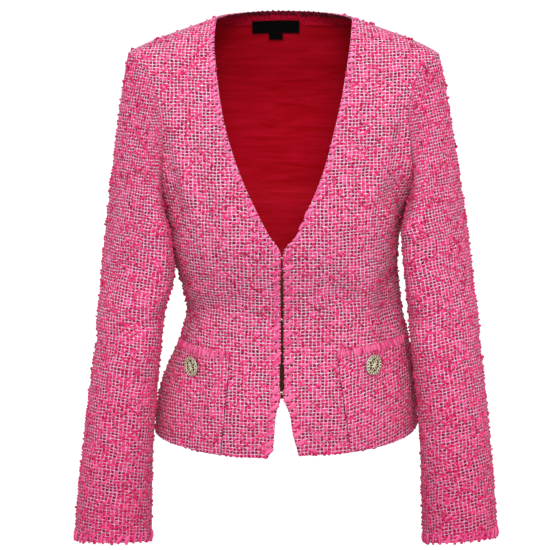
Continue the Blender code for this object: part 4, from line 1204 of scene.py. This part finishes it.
def turned_plate(name, profile, rim, floor):
    """A plate turned round its middle, from radii and heights in mm, with its rim's material and
    its floor's."""
    mesh = bmesh.new()
    rings = []
    for radius, height in profile:
        rings.append([mesh.verts.new(point)
                      for point in circle(radius, height, BUTTON_SIDES if radius else 1)])
    for near, far in zip(rings, rings[1:]):
        for k in range(BUTTON_SIDES):
            corners = (near[k % len(near)], near[(k + 1) % len(near)],
                       far[(k + 1) % len(far)], far[k % len(far)])
            face = mesh.faces.new(tuple(dict.fromkeys(corners)))
            face.material_index = int(max(near[0].co.xy.length, far[0].co.xy.length) < FLOOR_RADIUS)
    bmesh.ops.recalc_face_normals(mesh, faces=mesh.faces)
    made = bpy.data.meshes.new(name)
    mesh.to_mesh(made)
    mesh.free()
    made.shade_smooth()
    made.set_sharp_from_angle(angle=SHARP_EDGE)
    made.materials.append(rim)
    made.materials.append(floor)
    return in_scene(name, made)


def wires(name, routes, made_of):
    """Bent wires soldered together: each route is its points in mm and the wire's radius, and
    closes on itself."""
    curve = bpy.data.curves.new(name, "CURVE")
    curve.dimensions, curve.bevel_depth, curve.bevel_resolution = "3D", 1.0, 2
    for points, radius in routes:
        spline = curve.splines.new("POLY")
        spline.points.add(len(points) - 1)
        for place, point in zip(spline.points, points):
            place.co, place.radius = (*point, 1.0), radius
        spline.use_cyclic_u = True
    bent = in_scene(name + "_route", curve)
    ready = bent.evaluated_get(bpy.context.evaluated_depsgraph_get())
    mesh = bpy.data.meshes.new_from_object(ready)
    bpy.data.objects.remove(bent)
    mesh.materials.clear()
    mesh.materials.append(made_of)
    mesh.shade_smooth()
    return in_scene(name, mesh)


def petal(turn, reach, width, height):
    """A wire loop out from the middle and back, cupped."""
    t = ring_turns(14)
    out = reach * (0.5 - 0.5 * np.cos(t)) + PETAL_START
    across = width * np.sin(t) * (0.55 + 0.45 * (0.5 - 0.5 * np.cos(t)))
    up = height + 0.5 * np.sin(np.pi * np.clip(out / (reach + PETAL_START), 0, 1))
    return np.stack([out * math.cos(turn) - across * math.sin(turn),
                     out * math.sin(turn) + across * math.cos(turn), up], axis=1)


gold = plated_gold("zinc_cast_pale_gold_plated", "#8C8C5C", "#FCFCE0", 0.55, 0.34)
# The plate's rim, seen between the beads, is dark olive.
dark_rim = plated_gold("zinc_cast_dark_rim", "#1C1E12", "#6E7048", 0.4, 0.45)
# Painted shade and a painted pink reflection of the cloth: the dish behind the openwork is coloured
# dark pinkish brown.
hollow = plated_gold("zinc_cast_hollow_painted_shade", "#4A0E06", "#B8502E", 0.2, 0.5)

for side, (out, z, yaw, pitch) in BUTTONS.items():
    panel = fronts[side][0]
    seat = panel.points(out, z, LAID_GAP + POCKET_CLOTH + SHANK)
    yaw, pitch = math.radians(yaw), math.radians(pitch)
    level = math.cos(pitch)
    normal = np.array([math.sin(yaw) * level, -math.cos(yaw) * level, math.sin(pitch)])
    across = unit(np.cross((0.0, 0.0, 1.0), normal))
    turned = np.stack([across, np.cross(normal, across), normal], 1)
    place = Matrix([(*(MM * row), MM * at) for row, at in zip(turned, seat)] + [(0, 0, 0, 1)])
    plate = turned_plate(f"button_{side}_plate", BUTTON_PLATE, dark_rim, hollow)
    plate.data.transform(place)
    routes = [(circle(12.0, 2.7), 0.5), (circle(8.8, 2.9), 0.5)]
    for turn in ring_turns(PETALS):  # a long petal and a short one beside it
        routes.append((petal(turn, 6.6, 1.9, 2.9), 0.4))
        routes.append((petal(turn + math.pi / PETALS, 2.9, 0.8, 3.3), 0.3))
    rosette = wires(f"button_{side}_rosette", routes, gold)
    rosette.data.transform(place)
    rings = ((10.45, RIM_BEADS, 1.0), (0.0, 1, 1.1), (1.9, HEART_BEADS, 0.6))  # of beads
    points = np.concatenate([circle(radius, RIM_BEAD_HEIGHT, count) for radius, count, _ in rings])
    sizes = np.concatenate([np.full(count, size) for _, count, size in rings])
    points = np.array([(place @ Vector(point))[:] for point in points]) / MM
    rim = grown(f"button_{side}_beads", beads, points, {}, sizes, Radius=0.95, Seed=91, Finish=gold)
    for each in (plate, rosette, rim):
        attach(each, "root")
    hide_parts("button_" + side)


# The tapes: a bare black woven neck label and, under it, a size tab folded from a narrower tape,
# both damask woven in polyester and caught to the lining's top seam.

TAPE_MIDDLE = -12.0
TAPE_LIFT = -CLOTH - LINING_GAP - LINING_CLOTH - 1.3
LABEL = (58.0, -10.0, -26.0)  # width, top and foot
TAB = (17.0, -26.4, -34.4)
LABEL_THICK = 0.6
LABEL_RIPPLE = 0.25
TAB_FOLD = 0.35  # from its foot to the turn of the tape
TAB_ROWS = 9


def woven_tape():
    """Polyester damask tape, dense and flat: black, with a dull satin gleam across its ribs."""
    made, add = new_material("polyester_damask_tape_black")
    place = add("ShaderNodeUVMap", uv_map="cloth_mm")
    # The real ribs, a quarter of a millimetre apart, are drawn three times as coarse to show.
    ribs = add("ShaderNodeTexWave", {"Vector": place, "Scale": 0.42, "Distortion": 0.4},
               bands_direction="DIAGONAL")
    ribs = ribs.outputs["Fac"]
    colour = add("ShaderNodeMix", {0: ribs, 6: srgb("#010101"), 7: srgb("#060608")},
                 data_type="RGBA")
    rough = add("ShaderNodeMapRange", {0: ribs, 3: 0.62, 4: 0.78})
    bump = add("ShaderNodeBump", {"Height": ribs, "Strength": 0.3, "Distance": 0.0002})
    shader = add("ShaderNodeBsdfPrincipled", {
        "Base Color": colour, "Roughness": rough, "Normal": bump, "Specular IOR Level": 0.05})
    add("ShaderNodeOutputMaterial", {0: shader})
    return made


def tape_points(x, z, lift):
    found = Panel("back", "right").points(np.abs(x), z, lift)
    found[..., 0] = x
    return found


tape = woven_tape()
width, top, foot = LABEL
x, z = np.meshgrid(TAPE_MIDDLE + np.linspace(-width / 2, width / 2, 30), np.linspace(foot, top, 12))
lift = TAPE_LIFT + LABEL_RIPPLE * np.sin((x - TAPE_MIDDLE) * 0.35) * (top - z) / (top - foot)
label = cloth_piece("neck_label_tape", tape_points(x, z, lift - LABEL_THICK),
                    tape_points(x, z, lift), np.stack([x, z], axis=-1), (tape,))
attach(label, "root")
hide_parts("neck_label")

width, top, foot = TAB
down = np.linspace(top, foot + TAB_FOLD, TAB_ROWS)
down = np.concatenate([down, down[::-1]])
down[TAB_ROWS - 1:TAB_ROWS + 1] -= 0.1  # the turn itself
# The two sides of the tape, where it hangs and where it comes back behind itself.
lift, inside = (TAPE_LIFT + np.repeat(lifts, TAB_ROWS) for lifts in ((-0.65, 0.0), (-0.4, -0.25)))
x = TAPE_MIDDLE + np.linspace(-width / 2, width / 2, 10)[None] + 0 * down[:, None]
z, lift, inside = (values[:, None] + 0 * x for values in (down, lift, inside))
run = np.concatenate([[0], np.cumsum(np.abs(np.diff(down)) + 0.05)])
tab = cloth_piece("size_tab_tape", tape_points(x, z, lift), tape_points(x, z, inside),
                  np.stack([x, run[:, None] + 0 * x], axis=-1), (tape,))
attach(tab, "root")
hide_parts("size_tab")


# The hooks and eyes: bent steel wire, nickel plated and a little dulled by handling, sewn inside
# the front edges at the top, the middle and the foot of the closing.

def plated_wire():
    """Nickel plated steel wire, drawn and bent: a grey gleam with fine drawing lines."""
    made, add = new_material("steel_wire_nickel_plated")
    place = add("ShaderNodeTexCoord")
    lines = add("ShaderNodeMapping", {"Vector": place.outputs["Object"],
                                      "Scale": (400.0, 3000.0, 3000.0)})
    lines = add("ShaderNodeTexNoise", {"Vector": lines, "Scale": 1.0, "Detail": 2.0})
    colour = add("ShaderNodeMix", {0: lines, 6: srgb("#76705A"), 7: srgb("#D2CEB4")},
                 data_type="RGBA")
    rough = add("ShaderNodeMapRange", {0: lines, 3: 0.25, 4: 0.45})
    shader = add("ShaderNodeBsdfPrincipled", {
        "Base Color": colour, "Metallic": 1.0, "Roughness": rough})
    add("ShaderNodeOutputMaterial", {0: shader})
    return made


nickel = plated_wire()
for number in (1, 2, 3):
    for kind in ("hook", "eye"):
        for holder in bpy.data.objects[f"{kind}_{number}"].material_slots:
            holder.material = nickel


# The stage: a plain pale floor far below, where a wearer would stand, soft studio light from all
# round with one wide window, and a camera a little above the chest.

FLOOR_Z = -1.45
FLOOR_CORNERS = [(-40, -12), (40, -12), (40, 60), (-40, 60)]

paper, add = new_material("matt_white_paper")
shader = add("ShaderNodeBsdfPrincipled", {"Base Color": srgb("#FBFBFB"), "Roughness": 0.9})
add("ShaderNodeOutputMaterial", {0: shader})
floor_mesh = bpy.data.meshes.new("floor")
floor_mesh.from_pydata([(*corner, FLOOR_Z) for corner in FLOOR_CORNERS], [], [(0, 1, 2, 3)])
floor_mesh.materials.append(paper)
floor = in_scene("floor", floor_mesh)
floor.visible_diffuse = False  # no light comes up from it
floor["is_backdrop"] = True

world = bpy.data.worlds.new("studio")
bpy.context.scene.world = world
world.use_nodes = True
world.node_tree.nodes.clear()
add = partial(add_node, world.node_tree)
way = add("ShaderNodeTexCoord")
way = add("ShaderNodeSeparateXYZ", {0: way.outputs["Generated"]})
soft = add("ShaderNodeMapRange", {0: way.outputs[2], 1: -1.0, 2: 1.0, 3: 0.51, 4: 0.88})
seen = add("ShaderNodeLightPath")
soft = add("ShaderNodeMath", {0: soft, 1: seen.outputs["Is Camera Ray"]}, operation="MAXIMUM")
soft = add("ShaderNodeBackground", {"Color": (1.0, 1.0, 1.0, 1.0), "Strength": soft})
add("ShaderNodeOutputWorld", {0: soft})

sun = in_scene("window", bpy.data.lights.new("window", "SUN"))
sun.data.energy, sun.data.angle = 1.7, math.radians(25)
sun.rotation_euler = Vector((-0.3, 2.8, -2.4)).to_track_quat("-Z", "Y").to_euler()

bpy.context.scene.view_settings.view_transform = "Standard"

azimuth, elevation, distance = math.radians(1.5), math.radians(11.0), 3.5  # metres
target = Vector((-0.01125, 0.0, -0.3172))
away = Vector((math.sin(azimuth) * math.cos(elevation), -math.cos(azimuth) * math.cos(elevation),
               math.sin(elevation)))
camera = in_scene("camera", bpy.data.cameras.new("camera"))
camera.data.lens, camera.data.sensor_width = 186.25, 36.0
camera.location = target + distance * away
camera.rotation_euler = (-away).to_track_quat("-Z", "Y").to_euler()
bpy.context.scene.camera = camera

sizes = {name: [list(corner) for corner in box]
         for name, box in (("cad", cad_box), ("visual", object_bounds()))}
